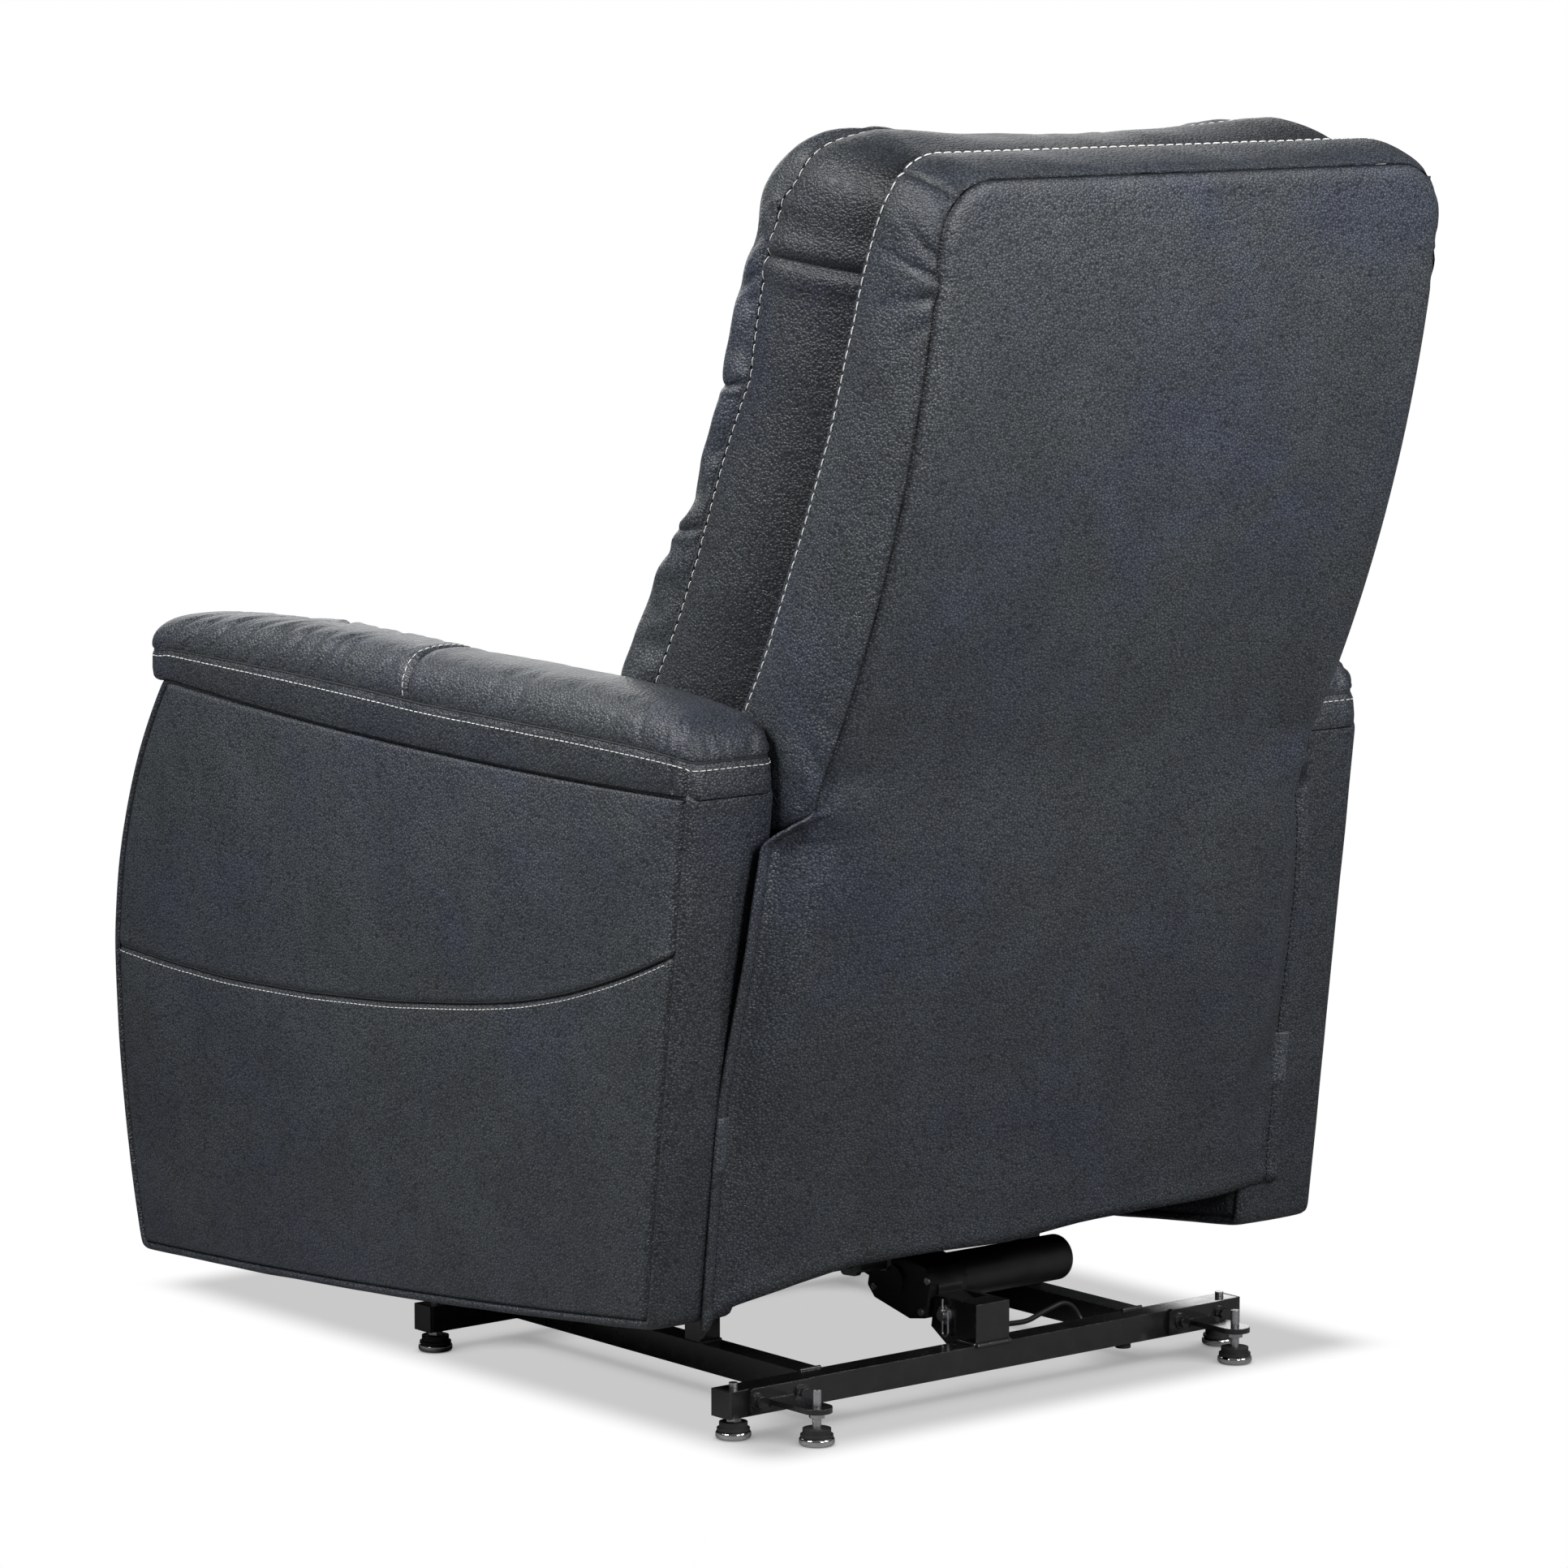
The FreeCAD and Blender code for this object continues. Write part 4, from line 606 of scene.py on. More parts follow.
def mirror(patches):
    return [(grid * MIRROR, seam, wrap) for grid, seam, wrap in patches]


def both_sides(lines):
    return lines, [np.asarray(line) * MIRROR for line in lines]


def over_the_top(*paths):
    """Each path goes up one side to the middle of the top, and is carried on down the other side."""
    return [np.concatenate([np.array(path), np.array(path)[-2::-1] * MIRROR]) for path in paths]


def rounded_box(xs, ys, radii, steps):
    """The outline of a box between two xs and two ys, with a radius for each corner."""
    points = []
    for (right, far, start), radius in zip(((1, 1, 0), (0, 1, 90), (0, 0, 180), (1, 0, 270)), radii):
        x = xs[right] + (-radius if right else radius)
        y = ys[far] + (-radius if far else radius)
        for angle in np.radians(np.linspace(start, start + 90, steps + 1)):
            points.append((x + radius * math.cos(angle), y + radius * math.sin(angle)))
    return np.array(points)


def nearest(values, places):
    return [int(np.argmin(np.abs(values - place))) for place in places]


# Arms

ARM_IN, ARM_OUT = 303.0, 398.0
ARM_CORNERS = [(21.0, 113.0), (113.8, 586.0), (-685.0, 671.5), (-779.0, 113.0)]
EDGE = 7.0
# The side panels' nominal length and heights, which space their mesh lines
SIDE_LENGTH, INNER_HEIGHT, LOWER_HEIGHT, UPPER_HEIGHT = 800.0, 480.0, 270.0, 215.0


def arm_outline():
    """The arm's side outline in (y, z), from its low rear corner up, forward and down."""
    rear_low, rear_top, front_top, front_low = ARM_CORNERS
    middle = ((rear_top[0] + front_top[0]) / 2, (rear_top[1] + front_top[1]) / 2 - 9.0)
    steps = [
        np.array([rear_low, rear_top]),
        arc(rear_top, middle, front_top, 60),
        arc(front_top, (-766.4, 537.8), (-800.0, 364.6), 40),
        arc((-800.0, 364.6), (-794.1, 213.6), front_low, 30),
        arc(front_low, (-400.0, 105.5), rear_low, 40),
    ]
    line = np.concatenate([s[:-1] for s in steps] + [steps[0][:1]])
    count = int(arc_length(line)[-1] / 4.0)
    ring = resample(line, np.arange(count) / count)
    for _ in range(5):
        ring = 0.5 * ring + 0.25 * (np.roll(ring, 1, axis=0) + np.roll(ring, -1, axis=0))
    ahead = np.roll(ring, -1, axis=0) - np.roll(ring, 1, axis=0)
    outward = unit(np.stack([ahead[:, 1], -ahead[:, 0]], axis=1))
    if np.sum(outward * (ring - ring.mean(axis=0))) < 0:
        outward = -outward
    return ring, outward


ring, ring_out = arm_outline()
DECOR = pairs(
    -798, 409, -783.4, 407.4, -714.2, 397.0, -605.3, 385.4, -472.6, 379.5, -343.7, 379.0,
    -218.5, 384.5, -145.2, 390.4, -72.8, 402.0, -1.3, 419.2, 45.8, 433.2, 79.0, 444.5,
)


def decor_line():
    xs = np.linspace(DECOR[0][0], DECOR[-1][0], 90)
    return np.stack([xs, table(DECOR, 1, 18)(xs)], axis=1)


def between(line, start, end):
    """The part of a closed line from the point nearest start, onwards, to the one nearest end."""
    i = int(np.argmin(np.linalg.norm(line - np.array(start), axis=1)))
    j = int(np.argmin(np.linalg.norm(line - np.array(end), axis=1)))
    return line[i : j + 1] if i <= j else np.concatenate([line[i:], line[: j + 1]])


def arm_side(x, crown, outward):
    """One side panel of the arm. The outer one is sewn from two pieces at the curved decor seam."""
    inset = ring - ring_out * EDGE
    rear_low, rear_top, front_top, front_low = ARM_CORNERS
    bottom = between(inset, front_low, rear_low)
    rear = between(inset, rear_low, rear_top)
    top = between(inset, rear_top, front_top)[::-1]
    front = between(inset, front_top, front_low)[::-1]
    us = marks(0, SIDE_LENGTH, 11, (0, SIDE_LENGTH)) / SIDE_LENGTH
    to_side = np.minimum(us, 1 - us)[None] * SIDE_LENGTH
    if not outward:
        vs = marks(0, INNER_HEIGHT, 14, (0, INNER_HEIGHT)) / INNER_HEIGHT
        edge = np.minimum(to_side, np.minimum(vs, 1 - vs)[:, None] * INNER_HEIGHT)
        rise = crown * smooth(edge / 60) - 2.6 * bell(edge, 5)
        flat = coons(bottom, top, front, rear, us, vs)
        return [(np.dstack([x - rise, flat]), 0.8 * bell(edge, 2.0), False)]
    seam = decor_line()
    (i,), (j,) = nearest(front[:, 1], [seam[0][1]]), nearest(rear[:, 1], [seam[-1][1]])
    seam[0], seam[-1] = front[i], rear[j]
    patches = []
    for lower in (True, False):
        height = LOWER_HEIGHT if lower else UPPER_HEIGHT
        vs = marks(0, height, 10, (0, height)) / height
        if lower:
            flat = coons(bottom, seam, front[: i + 1], rear[: j + 1], us, vs)
            to_seam, to_rim = (1 - vs) * height, vs * height
        else:
            flat = coons(seam, top, front[i:], rear[j:], us, vs)
            to_seam, to_rim = vs * height, (1 - vs) * height
        rim = np.minimum(to_side, to_rim[:, None] + 0 * to_side)
        stitch = to_seam[:, None] + 0 * to_side
        swell = crown * (1 - np.exp(-np.minimum(rim, stitch * 1.4 + 8) / 42))
        groove = np.where(rim < to_side, 1.6, 5.0)
        rise = swell - 3.0 * bell(rim, groove) - 1.9 * bell(stitch, 2.6)
        if not lower:
            rise = rise + 1.3 * bell(stitch - 5, 5)
        grid = np.dstack([x + rise, flat])
        ripple = wobble(grid, 48.0, 3.0) * 1.1 * np.exp(-rim / 60) + wobble(grid, 130.0, 7.0) * 1.3
        grid[..., 0] += ripple * smooth(np.minimum(rim, stitch) / 30)
        dark = 0.95 * np.maximum(bell(to_side + 0 * stitch, 2.2), bell(stitch, 1.6))
        patches.append((grid, dark, False))
    return patches


def arm_strip():
    """The leather round the arm's edge, front, top, rear and bottom, rolled over both side panels."""
    profile = [(EDGE, 3.0), (5.4, 1.2), (3.4, 0.4), (1.4, 1.2), (-0.2, 3.0), (-1.3, 6.5), (-1.9, 13.0)]
    profile.append((-2.3, 30.0))
    across = [(inset, ARM_OUT - v) for inset, v in profile] + [(-2.5, (ARM_IN + ARM_OUT) / 2)]
    across += [(inset, ARM_IN + v) for inset, v in profile[:0:-1]] + [(EDGE, ARM_IN + 2.6)]
    loops = [(x, ring - ring_out * inset) for inset, x in across]
    grid = np.array([np.column_stack([np.full(len(ring), x), loop]) for x, loop in loops])
    middle = np.sin(np.linspace(0, math.pi, len(grid)))[:, None]
    ripple = np.maximum(wobble(grid, 60.0, 11.0) * 1.2, -0.3) * middle
    grid[..., 1:] += ring_out[None] * ripple[..., None]
    # The strip's rear part, on the arm's rear face, is darkened as painted shade. Its two edges are darkened
    # as seams.
    dark = np.zeros(grid.shape[:2]) + 0.16 * smooth((loops[-1][1][:, 0] + 60) / 60)
    dark[0] = dark[-1] = 0.8
    return grid, dark, True


arm_patches = arm_side(ARM_OUT, 5.0, True) + arm_side(ARM_IN, 1.2, False) + [arm_strip()]
arm_left = piece("arm_leather_left", arm_patches)
arm_right = piece("arm_leather_right", mirror(arm_patches))

# The opening for the handset in the right arm, in its outer side

HAND_Y, HAND_Z, HAND_W, HAND_H, WALL = -520.0, 470.0, 62.0, 130.0, 3.4
OUTER_SIDE = -0.385


def cut_opening(target, y0, y1, z0, z1):
    """Cuts a rectangle out of the arm's outer side."""
    bm = bmesh.new()
    bm.from_mesh(target.data)
    for (y, z), (ny, nz) in (((y0, 0), (1, 0)), ((y1, 0), (1, 0)), ((0, z0), (0, 1)), ((0, z1), (0, 1))):
        point = Vector(to_world([0, y, z]))
        direction = Vector(to_world([0, y + ny, z + nz])) - point
        outer = [f for f in bm.faces if f.calc_center_median().x < OUTER_SIDE]
        geometry = outer + list({e for f in outer for e in f.edges})
        geometry += list({v for f in outer for v in f.verts})
        bmesh.ops.bisect_plane(bm, geom=geometry, plane_co=point, plane_no=direction)
    gone = []
    for f in bm.faces:
        x, y, z = to_level(f.calc_center_median())
        if x < OUTER_SIDE * 1000 and y0 < y < y1 and z0 < z < z1:
            gone.append(f)
    bmesh.ops.delete(bm, geom=gone, context="FACES")
    bm.to_mesh(target.data)
    bm.free()


reach_y, reach_z = HAND_W / 2 + WALL, HAND_H / 2 + WALL
cut_opening(arm_right, HAND_Y - reach_y, HAND_Y + reach_y, HAND_Z - reach_z, HAND_Z + reach_z)
stand_in(arm_left, "carriage", "arm_cover_left")
stand_in(arm_right, "carriage", "arm_cover_right")

# A moulded rim round the handset's cradle, over the cut edge of the leather
rows = []
for grow, out in ((-0.2, -3.0), (-0.2, 4.6), (0.8, 6.2), (3.0, 6.9), (5.6, 6.4), (7.2, 4.6), (7.4, 1.0)):
    half_y, half_z, radius = HAND_W / 2 + grow, HAND_H / 2 + grow, max(1.0, 3 + grow)
    loop = rounded_box((-half_y, half_y), (-half_z, half_z), [radius] * 4, 6) + (HAND_Y, HAND_Z)
    rows.append(np.column_stack([np.full(len(loop), -ARM_OUT - out), loop]))
bezel = piece("handset_bezel", [(np.array(rows), 0.0, True)], slot_materials["black_plastic"])
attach(bezel, "carriage")

decor = decor_line()[1:-1]
sewn = np.column_stack([np.full(len(decor), 400.0), decor])
rear_seam = between(ring - ring_out * (EDGE + 0.2), (24, 128), (111, 572))
lines = [sewn - (0, 0, 4.6), np.column_stack([np.full(len(rear_seam), 397.0), rear_seam]), sewn]
for name, target, (white, dark, seam) in zip(("left", "right"), (arm_left, arm_right), both_sides(lines)):
    for made in (
        stitches("arm_stitches_" + name, target, [white], thread, 6.4, 4.7, 0.46),
        stitches("arm_seam_thread_" + name, target, [dark], dark_thread_and_seam_shadow, 5.2, 4.2, 0.7),
        # A near-black rod in the decor seam as painted seam shadow
        seam_shadow_cords("arm_seam_shadow_" + name, target, [seam], 0.8),
    ):
        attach(made, "carriage")

# Arm pads

CROSS_Y = -290.0
PAD_X, PAD_HALF, PAD_FRONT, PAD_REAR = 350.5, 49.5, -725.0, 115.8
CREST = pairs(
    -760, 718, -731, 721, -675, 729, -574, 727, -481, 723, -354, 711, -280, 700, -170, 691, -111, 685,
    -41, 678, 40, 666, 84, 657, 116, 647,
)
pad_crest = table(CREST, 1, 14)
arm_top = between(ring, ARM_CORNERS[1], ARM_CORNERS[2])[::-1]


def pad_base(y):
    z = np.interp(y, arm_top[:, 0], arm_top[:, 1])
    return z + 0.6 + np.maximum(0, -690 - np.asarray(y)) * 0.12


def pad_z(y, h):
    """The height of a row h up the pad, which is PAD_HEIGHT high at its crest."""
    low = pad_base(y)
    return low + h / PAD_HEIGHT * (pad_crest(y) - low)


def pad_plan():
    """The pad's outline from above, about a step of 4 mm."""
    corners = rounded_box((-PAD_HALF, PAD_HALF), (PAD_FRONT, PAD_REAR), (16.0, 16.0, 36.0, 36.0), 8)
    line = closed(corners)
    total = float(arc_length(line)[-1])
    side = resample(line, np.arange(4000) / 4000)[:, 1] > CROSS_Y
    crossings = np.flatnonzero(side[1:] != side[:-1]) + 1
    places = marks(0, total, 4.2, [k / 4000 * total for k in crossings])[:-1]
    return resample(line, places / total)


PAD_ROWS = pairs(
    0.0, 0.0, 0.45, 0.0, 0.85, 0.0, 0.955, 0.2, 0.975, -4.6, 0.995, -2.5, 1.004, 8.0, 0.998, 21.0,
    0.99, 26.0, 0.978, 29.0, 0.962, 31.0, 0.953, 32.0, 0.962, 33.2, 0.978, 35.0, 0.988, 38.0,
    0.988, 42.0, 0.975, 46.5, 0.95, 51.0, 0.91, 55.5, 0.86, 59.5, 0.80, 62.8, 0.73, 65.6, 0.65, 68.0,
    0.56, 69.8, 0.46, 71.2, 0.36, 72.1, 0.26, 72.6, 0.15, 72.9, 0.05, 73.0, 0.0, 73.0,
)
PAD_SEAM_ROW, PAD_HEIGHT, PAD_BAND_SEAM = 11, 73.0, 8.0


def pad_wrinkles(plan):
    """Gathers above the pad's seam: (place along, slant, depth, width, reach)."""
    run = arc_length(closed(plan))
    total = run[-1]
    pick = random.Random(5)
    folds, s = [], 0.0
    while s < total:
        x, y = (float(np.interp(s, run[:-1], p)) for p in plan.T)
        rearward = 1.0 if x > 0 else -1.0
        if y < -690:
            depth, slant, ranges = pick.uniform(1.6, 3.0), 0.0, ((3.5, 5.5), (30, 50), (12, 19))
        elif y < CROSS_Y - 20:
            depth = pick.uniform(1.7, 3.4) * (1.0 if y < -420 else 0.55)
            slant, ranges = pick.uniform(0.55, 1.0), ((6, 9), (60, 95), (24, 40))
        elif y > 10:
            depth, slant = pick.uniform(1.4, 2.8), pick.uniform(-0.4, 0.3)
            ranges = ((3, 5), (26, 50), (13, 22))
        else:
            depth, slant = pick.uniform(0.4, 1.2), pick.uniform(0.2, 0.7)
            ranges = ((8, 14), 70.0, (40, 75))
        width, reach, step = (pick.uniform(*r) if isinstance(r, tuple) else r for r in ranges)
        folds.append((s, rearward * slant, depth, width, reach))
        s += step
    return run[:-1], total, folds


def arm_pad():
    plan = pad_plan()
    run, total, folds = pad_wrinkles(plan)
    medial_y = np.clip(plan[:, 1], PAD_FRONT + PAD_HALF, PAD_REAR - PAD_HALF)
    rows = []
    for f, h in PAD_ROWS:
        x = plan[:, 0] * f
        y = medial_y + (plan[:, 1] - medial_y) * f
        rows.append(np.column_stack([PAD_X + x, y, pad_z(y, h)]))
    grid = np.array(rows)
    normals = grid_normals(grid, wrap=True)
    high = PAD_SEAM_ROW + 8
    if normals[high, 0] @ (grid[high, 0] - np.array([PAD_X, medial_y[0], 640])) < 0:
        normals = -normals
    above = np.concatenate([[0], np.cumsum(np.linalg.norm(np.diff(grid, axis=0), axis=2).mean(axis=1))])
    d = above - above[PAD_SEAM_ROW]
    rise = np.zeros(grid.shape[:2])
    for s, slant, depth, width, reach in folds:
        window = smooth(d / 5) * (1 - smooth((d - reach * 0.45) / (reach * 0.55)))
        gap = (run[None] - s - slant * np.maximum(d, 0)[:, None] + total / 2) % total - total / 2
        q = gap / width
        rise -= depth * (1 - 1.1 * q**2) * np.exp(-(q**2)) * window[:, None]
    below = smooth(-d / 6) * smooth((d + 34) / 10)
    rise += wobble(grid, 26.0, 2.0) * 1.1 * below[:, None]
    rise += wobble(grid, 70.0, 5.0) * 1.2 * smooth(d / 20)[:, None]
    puckers = np.array([noise.noise(Vector((s / 7.0, 3.0, 1.0))) for s in run])
    rise += puckers[None] * (1.5 * np.exp(-np.abs(d) / 9) * smooth(np.abs(d) / 4))[:, None]
    cross = grid[..., 1] - CROSS_Y
    on_top = smooth((d - 1) / 4)[:, None]
    rise += on_top * (-2.0 * bell(cross, 2.8) + 1.0 * bell(np.abs(cross) - 13, 9))
    upright = np.minimum(np.abs(run - PAD_BAND_SEAM), np.abs(run - total + PAD_BAND_SEAM))
    tucked_in = smooth(-d / 3)[:, None] * np.ones(len(run))[None]
    rise -= 1.6 * bell(upright, 2.0)[None] * tucked_in
    grid = grid + normals * rise[..., None]
    # The pad's seam line is darkened; the band below it is darkened as painted shade.
    dark = np.maximum(bell(d, 1.3), 0.22 * smooth(-d / 8))[:, None] + 0 * cross
    dark = np.maximum(dark, on_top * bell(cross, 1.4))
    dark = np.maximum(dark, tucked_in * bell(upright, 1.8)[None])
    return grid, dark, True


pad_patch = arm_pad()
plan = pad_plan()
around = np.column_stack([PAD_X + plan[:, 0] * 0.985, plan[:, 1], pad_z(plan[:, 1], 25.0)])
across = [(PAD_X + PAD_HALF * f, CROSS_Y - 6.5, pad_z(CROSS_Y, h)) for f, h in PAD_ROWS[PAD_SEAM_ROW + 2 :]]
across += [(2 * PAD_X - x, y, z) for x, y, z in reversed(across)]
lines = both_sides([closed(around), np.array(across), closed(pad_patch[0][PAD_SEAM_ROW])])
for side, patches, (*white, dark) in zip(("left", "right"), ([pad_patch], mirror([pad_patch])), lines):
    made = piece("arm_pad_leather_" + side, patches)
    stand_in(made, "carriage", "arm_pad_" + side)
    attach(stitches("pad_stitches_" + side, made, white, thread, 7.2, 5.6, 0.5), "carriage")
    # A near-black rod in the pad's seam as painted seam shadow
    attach(seam_shadow_cords("pad_seam_shadow_" + side, made, [dark], 1.1, 0.0), "carriage")

# Back: outer leather

SEAM_Z = 598.0
REAR_HALF, REAR_TOP, REAR_CORNER = 291.0, 1097.0, 52.0
FRONT_HALF, FRONT_TOP, FRONT_CORNER = 296.0, 1118.0, 46.0
ROLL = 8.0
rear_arc = arc((172.0, 589.0), (299.0, 841.0), (367.0, 1097.0), 120)


def rear_y(z):
    return np.interp(z, rear_arc[:, 1], rear_arc[:, 0])


SKIRT = [
    (597.7, 291.5, 161.5, 172.2), (561.0, 292.5, 155.0, 167.0), (536.0, 324.5, 117.0, 160.0),
    (495.0, 330.5, 111.0, 147.0), (438.0, 335.0, 99.5, 129.0), (366.0, 340.0, 79.0, 106.0),
    (308.0, 343.0, 62.0, 87.0), (240.0, 344.0, 49.0, 65.1), (90.0, 344.0, 20.7, 27.0),
]
FLAP_TOP = 560.0
skirt_half = table(SKIRT, 1, 3)
skirt_edge = table(SKIRT, 2, 6)
skirt_middle = table(SKIRT + [(640, 0, 0, float(rear_y(640)))], 3, 14)
HEM = pairs(
    -344, 152, -324, 152, -250, 147, -190, 147, -90, 146, 0, 140, 90, 143, 190, 142, 260, 132,
    324, 121, 344, 98,
)
hem = table(HEM, 1, 12)
BINDING, HEM_HALF = 11.5, 344.0


def hung(z):
    """The middle of the rear leather's profile, drawn smoothly from the back into the flap."""
    dense = np.arange(60.0, 1130.0, 2.0)
    sharp = np.where(dense >= SEAM_Z, rear_y(dense), skirt_middle(dense))
    return np.interp(z, dense, blurred(sharp, 14.0, 36) - sharp)


def rear_panel():
    """The outer back's rear panel and the skirt below it, one run of leather from top seam to hem."""
    inward = np.array([0, 1.0, 2.2, 3.8, 5.8, 8.4, 11.6, 15.6, 20, 25, 31, 38, 46, 56, 68, 84])
    inward = np.concatenate([inward, np.linspace(102, REAR_HALF, 11)])
    us = np.concatenate([inward / REAR_HALF - 1, (1 - inward[:-1] / REAR_HALF)[::-1]])
    heights = [np.linspace(0, 0.82, 44)[:-1], np.linspace(0.82, 0.94, 27)[:-1], np.linspace(0.94, 1, 7)[:-1]]
    heights = np.concatenate(heights + [np.linspace(1, 2, 74)])
    grid = np.zeros((len(heights), len(us), 3))
    inside = np.zeros(grid.shape[:2])
    for i, h in enumerate(heights):
        if h < 1:
            low = hem(us * HEM_HALF)
            z = low + (SEAM_Z - low) * h
        else:
            z = np.full(len(us), SEAM_Z + (REAR_TOP - SEAM_Z) * (1 - (2 - h) ** 1.25))
        half = np.where(z >= SEAM_Z, REAR_HALF, skirt_half(np.minimum(z, SKIRT[0][0])))
        high = np.clip(z - (REAR_TOP - REAR_CORNER), 0, REAR_CORNER)
        straight = REAR_HALF - REAR_CORNER
        half = np.where(high > 0, straight + np.sqrt(np.maximum(REAR_CORNER**2 - high**2, 0)), half)
        x = us * half
        d = half - np.abs(x)
        over = np.maximum(np.abs(x) - straight, 0)
        near = np.where(high > 0, np.minimum(REAR_TOP - z, REAR_CORNER - np.hypot(over, high)), d)
        near = np.maximum(near, 0)
        near = np.where(high > 0, near, np.minimum(near, REAR_TOP - z))
        roll = np.sqrt(np.clip(1 - (1 - np.clip(near / 17, 0, 1)) ** 2, 0, 1))
        middle, edge = skirt_middle(z), skirt_edge(z)
        flat = np.interp(z, [300, 500, 535, 561], [10.0, 16.0, 16.0, 0.0])
        width = np.interp(z, [260, 330, 480, 535, 561, 598], [80.0, 58.0, 44.0, 44.0, 15.0, 15.0])
        skirt = (middle - edge) * (1 - smooth((d - flat) / width))
        strong = np.interp(z, [200, 330, 540, 566], [0.2, 0.8, 1.0, 0.0])
        fold = (6.0 * bell(d - flat - width * 0.45, 14) - 4.5 * bell(d - flat - width * 1.1, 16)) * strong
        share = smooth((SEAM_Z - z) / 26)
        y = np.where(z >= SEAM_Z, rear_y(z), middle) + hung(z) * smooth((d - 10) / 110) * (high <= 0)
        drop = ROLL * (1 - roll) * (1 - share) + (skirt - fold) * share
        grid[i] = np.column_stack([x, y - drop, z])
        inside[i] = near
    return grid, us, inside


panel, panel_us, near_edge = rear_panel()
x, z = panel[..., 0], panel[..., 2]
fade = smooth(near_edge / 40)
swell = wobble(panel, 210.0, 1.0) * 2.6 + wobble(panel, 75.0, 9.0) * 0.9 * (1 - 0.5 * fade)
below = smooth((SEAM_Z - z) / 120)
sway = np.sin(x / 95.0 + 0.9) * 3.4 + np.sin(x / 41.0 + z / 160.0) * 1.6
panel[..., 1] += swell * fade + below * sway * smooth((430 - z) / 260) * smooth(near_edge / 60)
for corner in (-1, 1):
    beside = REAR_HALF - corner * x
    for k in range(4):
        ray = (z - 556 + 13 * k) + (0.9 + 0.5 * k) * (beside + 8 * k)
        reach = 1 - smooth((beside + 14) / 60)
        panel[..., 1] -= (2.6 - 0.4 * k) * bell(ray, 5 + 2 * k) * reach * (corner * x > 200)
    for at_z, slope, depth in ((1030, 0.30, 2.4), (1014, -0.1, 3.2), (996, -0.45, 1.6)):
        line = z - at_z - slope * beside
        inner = np.exp(-np.maximum(beside, 0) / 17)
        panel[..., 1] -= depth * bell(line, 5) * inner * (corner * x > 180)
    right, up = corner * x - (REAR_HALF - REAR_CORNER), z - (REAR_TOP - REAR_CORNER)
    for turn, depth in ((0.5, 1.3), (0.95, 1.8), (1.25, 1.2)):
        inner = np.exp(-near_edge / 20) * (up > 0) * (right > 0)
        panel[..., 1] -= depth * bell((np.arctan2(up, right) - turn) * REAR_CORNER, 4.5) * inner
panel_seam = bell(np.where(z > FLAP_TOP + 2, near_edge, 99.0), 1.5)
side_gap = np.maximum(0, (1 - np.abs(panel_us))[None] * 340 + 0 * z)
bound = 2.2 * (1 - smooth((side_gap - BINDING + 1.6) / 2.2)) - 1.3 * bell(side_gap - BINDING - 1, 3)
panel[..., 1] += np.where(z < FLAP_TOP, bound, 0)
hem_gap = z - hem(panel_us * HEM_HALF)[None]
panel[..., 1] += 1.6 * (1 - smooth((hem_gap - BINDING + 1.6) / 2.2))
panel_seam = np.maximum(panel_seam, np.where(z < FLAP_TOP - 2, 0.85 * bell(side_gap - BINDING, 1.4), 0))
panel_seam = np.maximum(panel_seam, 0.5 * bell(hem_gap - BINDING, 2.5))
rear_leather = piece("rear_leather", [(panel, panel_seam, False)])


def face_toward(target, direction):
    """Turns a sheet's faces so that most look along the direction."""
    total = sum((p.normal * p.area for p in target.data.polygons), Vector())
    if total.dot(Vector(direction)) < 0:
        target.data.flip_normals()


face_toward(rear_leather, (0, 1, 0))
thickness = rear_leather.modifiers.new("thickness", "SOLIDIFY")
thickness.thickness, thickness.offset, thickness.use_rim = 0.0028, -1, True
apply_modifiers(rear_leather)
binding_lines = []
for column, side in ((0, -1), (-1, 1)):
    line = []
    for row in np.where(panel[:, 0, 2] < FLAP_TOP - 4)[0]:
        at = panel[row, column, 0] - side * (BINDING + 0.6)
        order = np.argsort(panel[row, :, 0])
        line.append((at, *(np.interp(at, panel[row, order, 0], panel[row, order, k]) for k in (1, 2))))
    binding_lines.append(np.array(line))
flap_thread = stitches("flap_thread", rear_leather, binding_lines, dark_thread_and_seam_shadow, 5.5, 3.8, 0.5)


TAB_LOW, TAB_HIGH, TAB_WIDTH = 245.0, 296.0, 15.8


def tab_patch(side):
    """A small tab sewn over the flap's border, where its hook tape grips the arm."""
    zs = np.array([TAB_LOW, TAB_LOW + 0.4, TAB_LOW + 1.6, *np.linspace(TAB_LOW + 4, TAB_HIGH - 4, 9)])
    zs = np.append(zs, [TAB_HIGH - 1.6, TAB_HIGH - 0.4, TAB_HIGH])
    ins = np.array([-0.4, 0.4, 1.6, 4.0, 7.0, 10.0, 13.0, 14.4, 15.4, TAB_WIDTH])
    grid = np.zeros((len(zs), len(ins), 3))
    columns = panel.transpose(1, 0, 2)[panel_us * side > 0.5]
    for i, at in enumerate(zs):
        across, depths = (np.array([np.interp(at, c[:, 2], c[:, k]) for c in columns]) for k in (0, 1))
        grid[i, :, 0] = side * (np.abs(across).max() - ins)
        grid[i, :, 1] = np.interp(grid[i, :, 0], across, depths)
        grid[i, :, 2] = at
    ends = np.minimum(zs - TAB_LOW, TAB_HIGH - zs)
    border = np.minimum(ends[:, None], np.minimum(ins - ins[0], TAB_WIDTH - ins)[None])
    grid[..., 1] += -0.6 + 2.0 * smooth(border / 1.4)
    return grid, 0.0, False


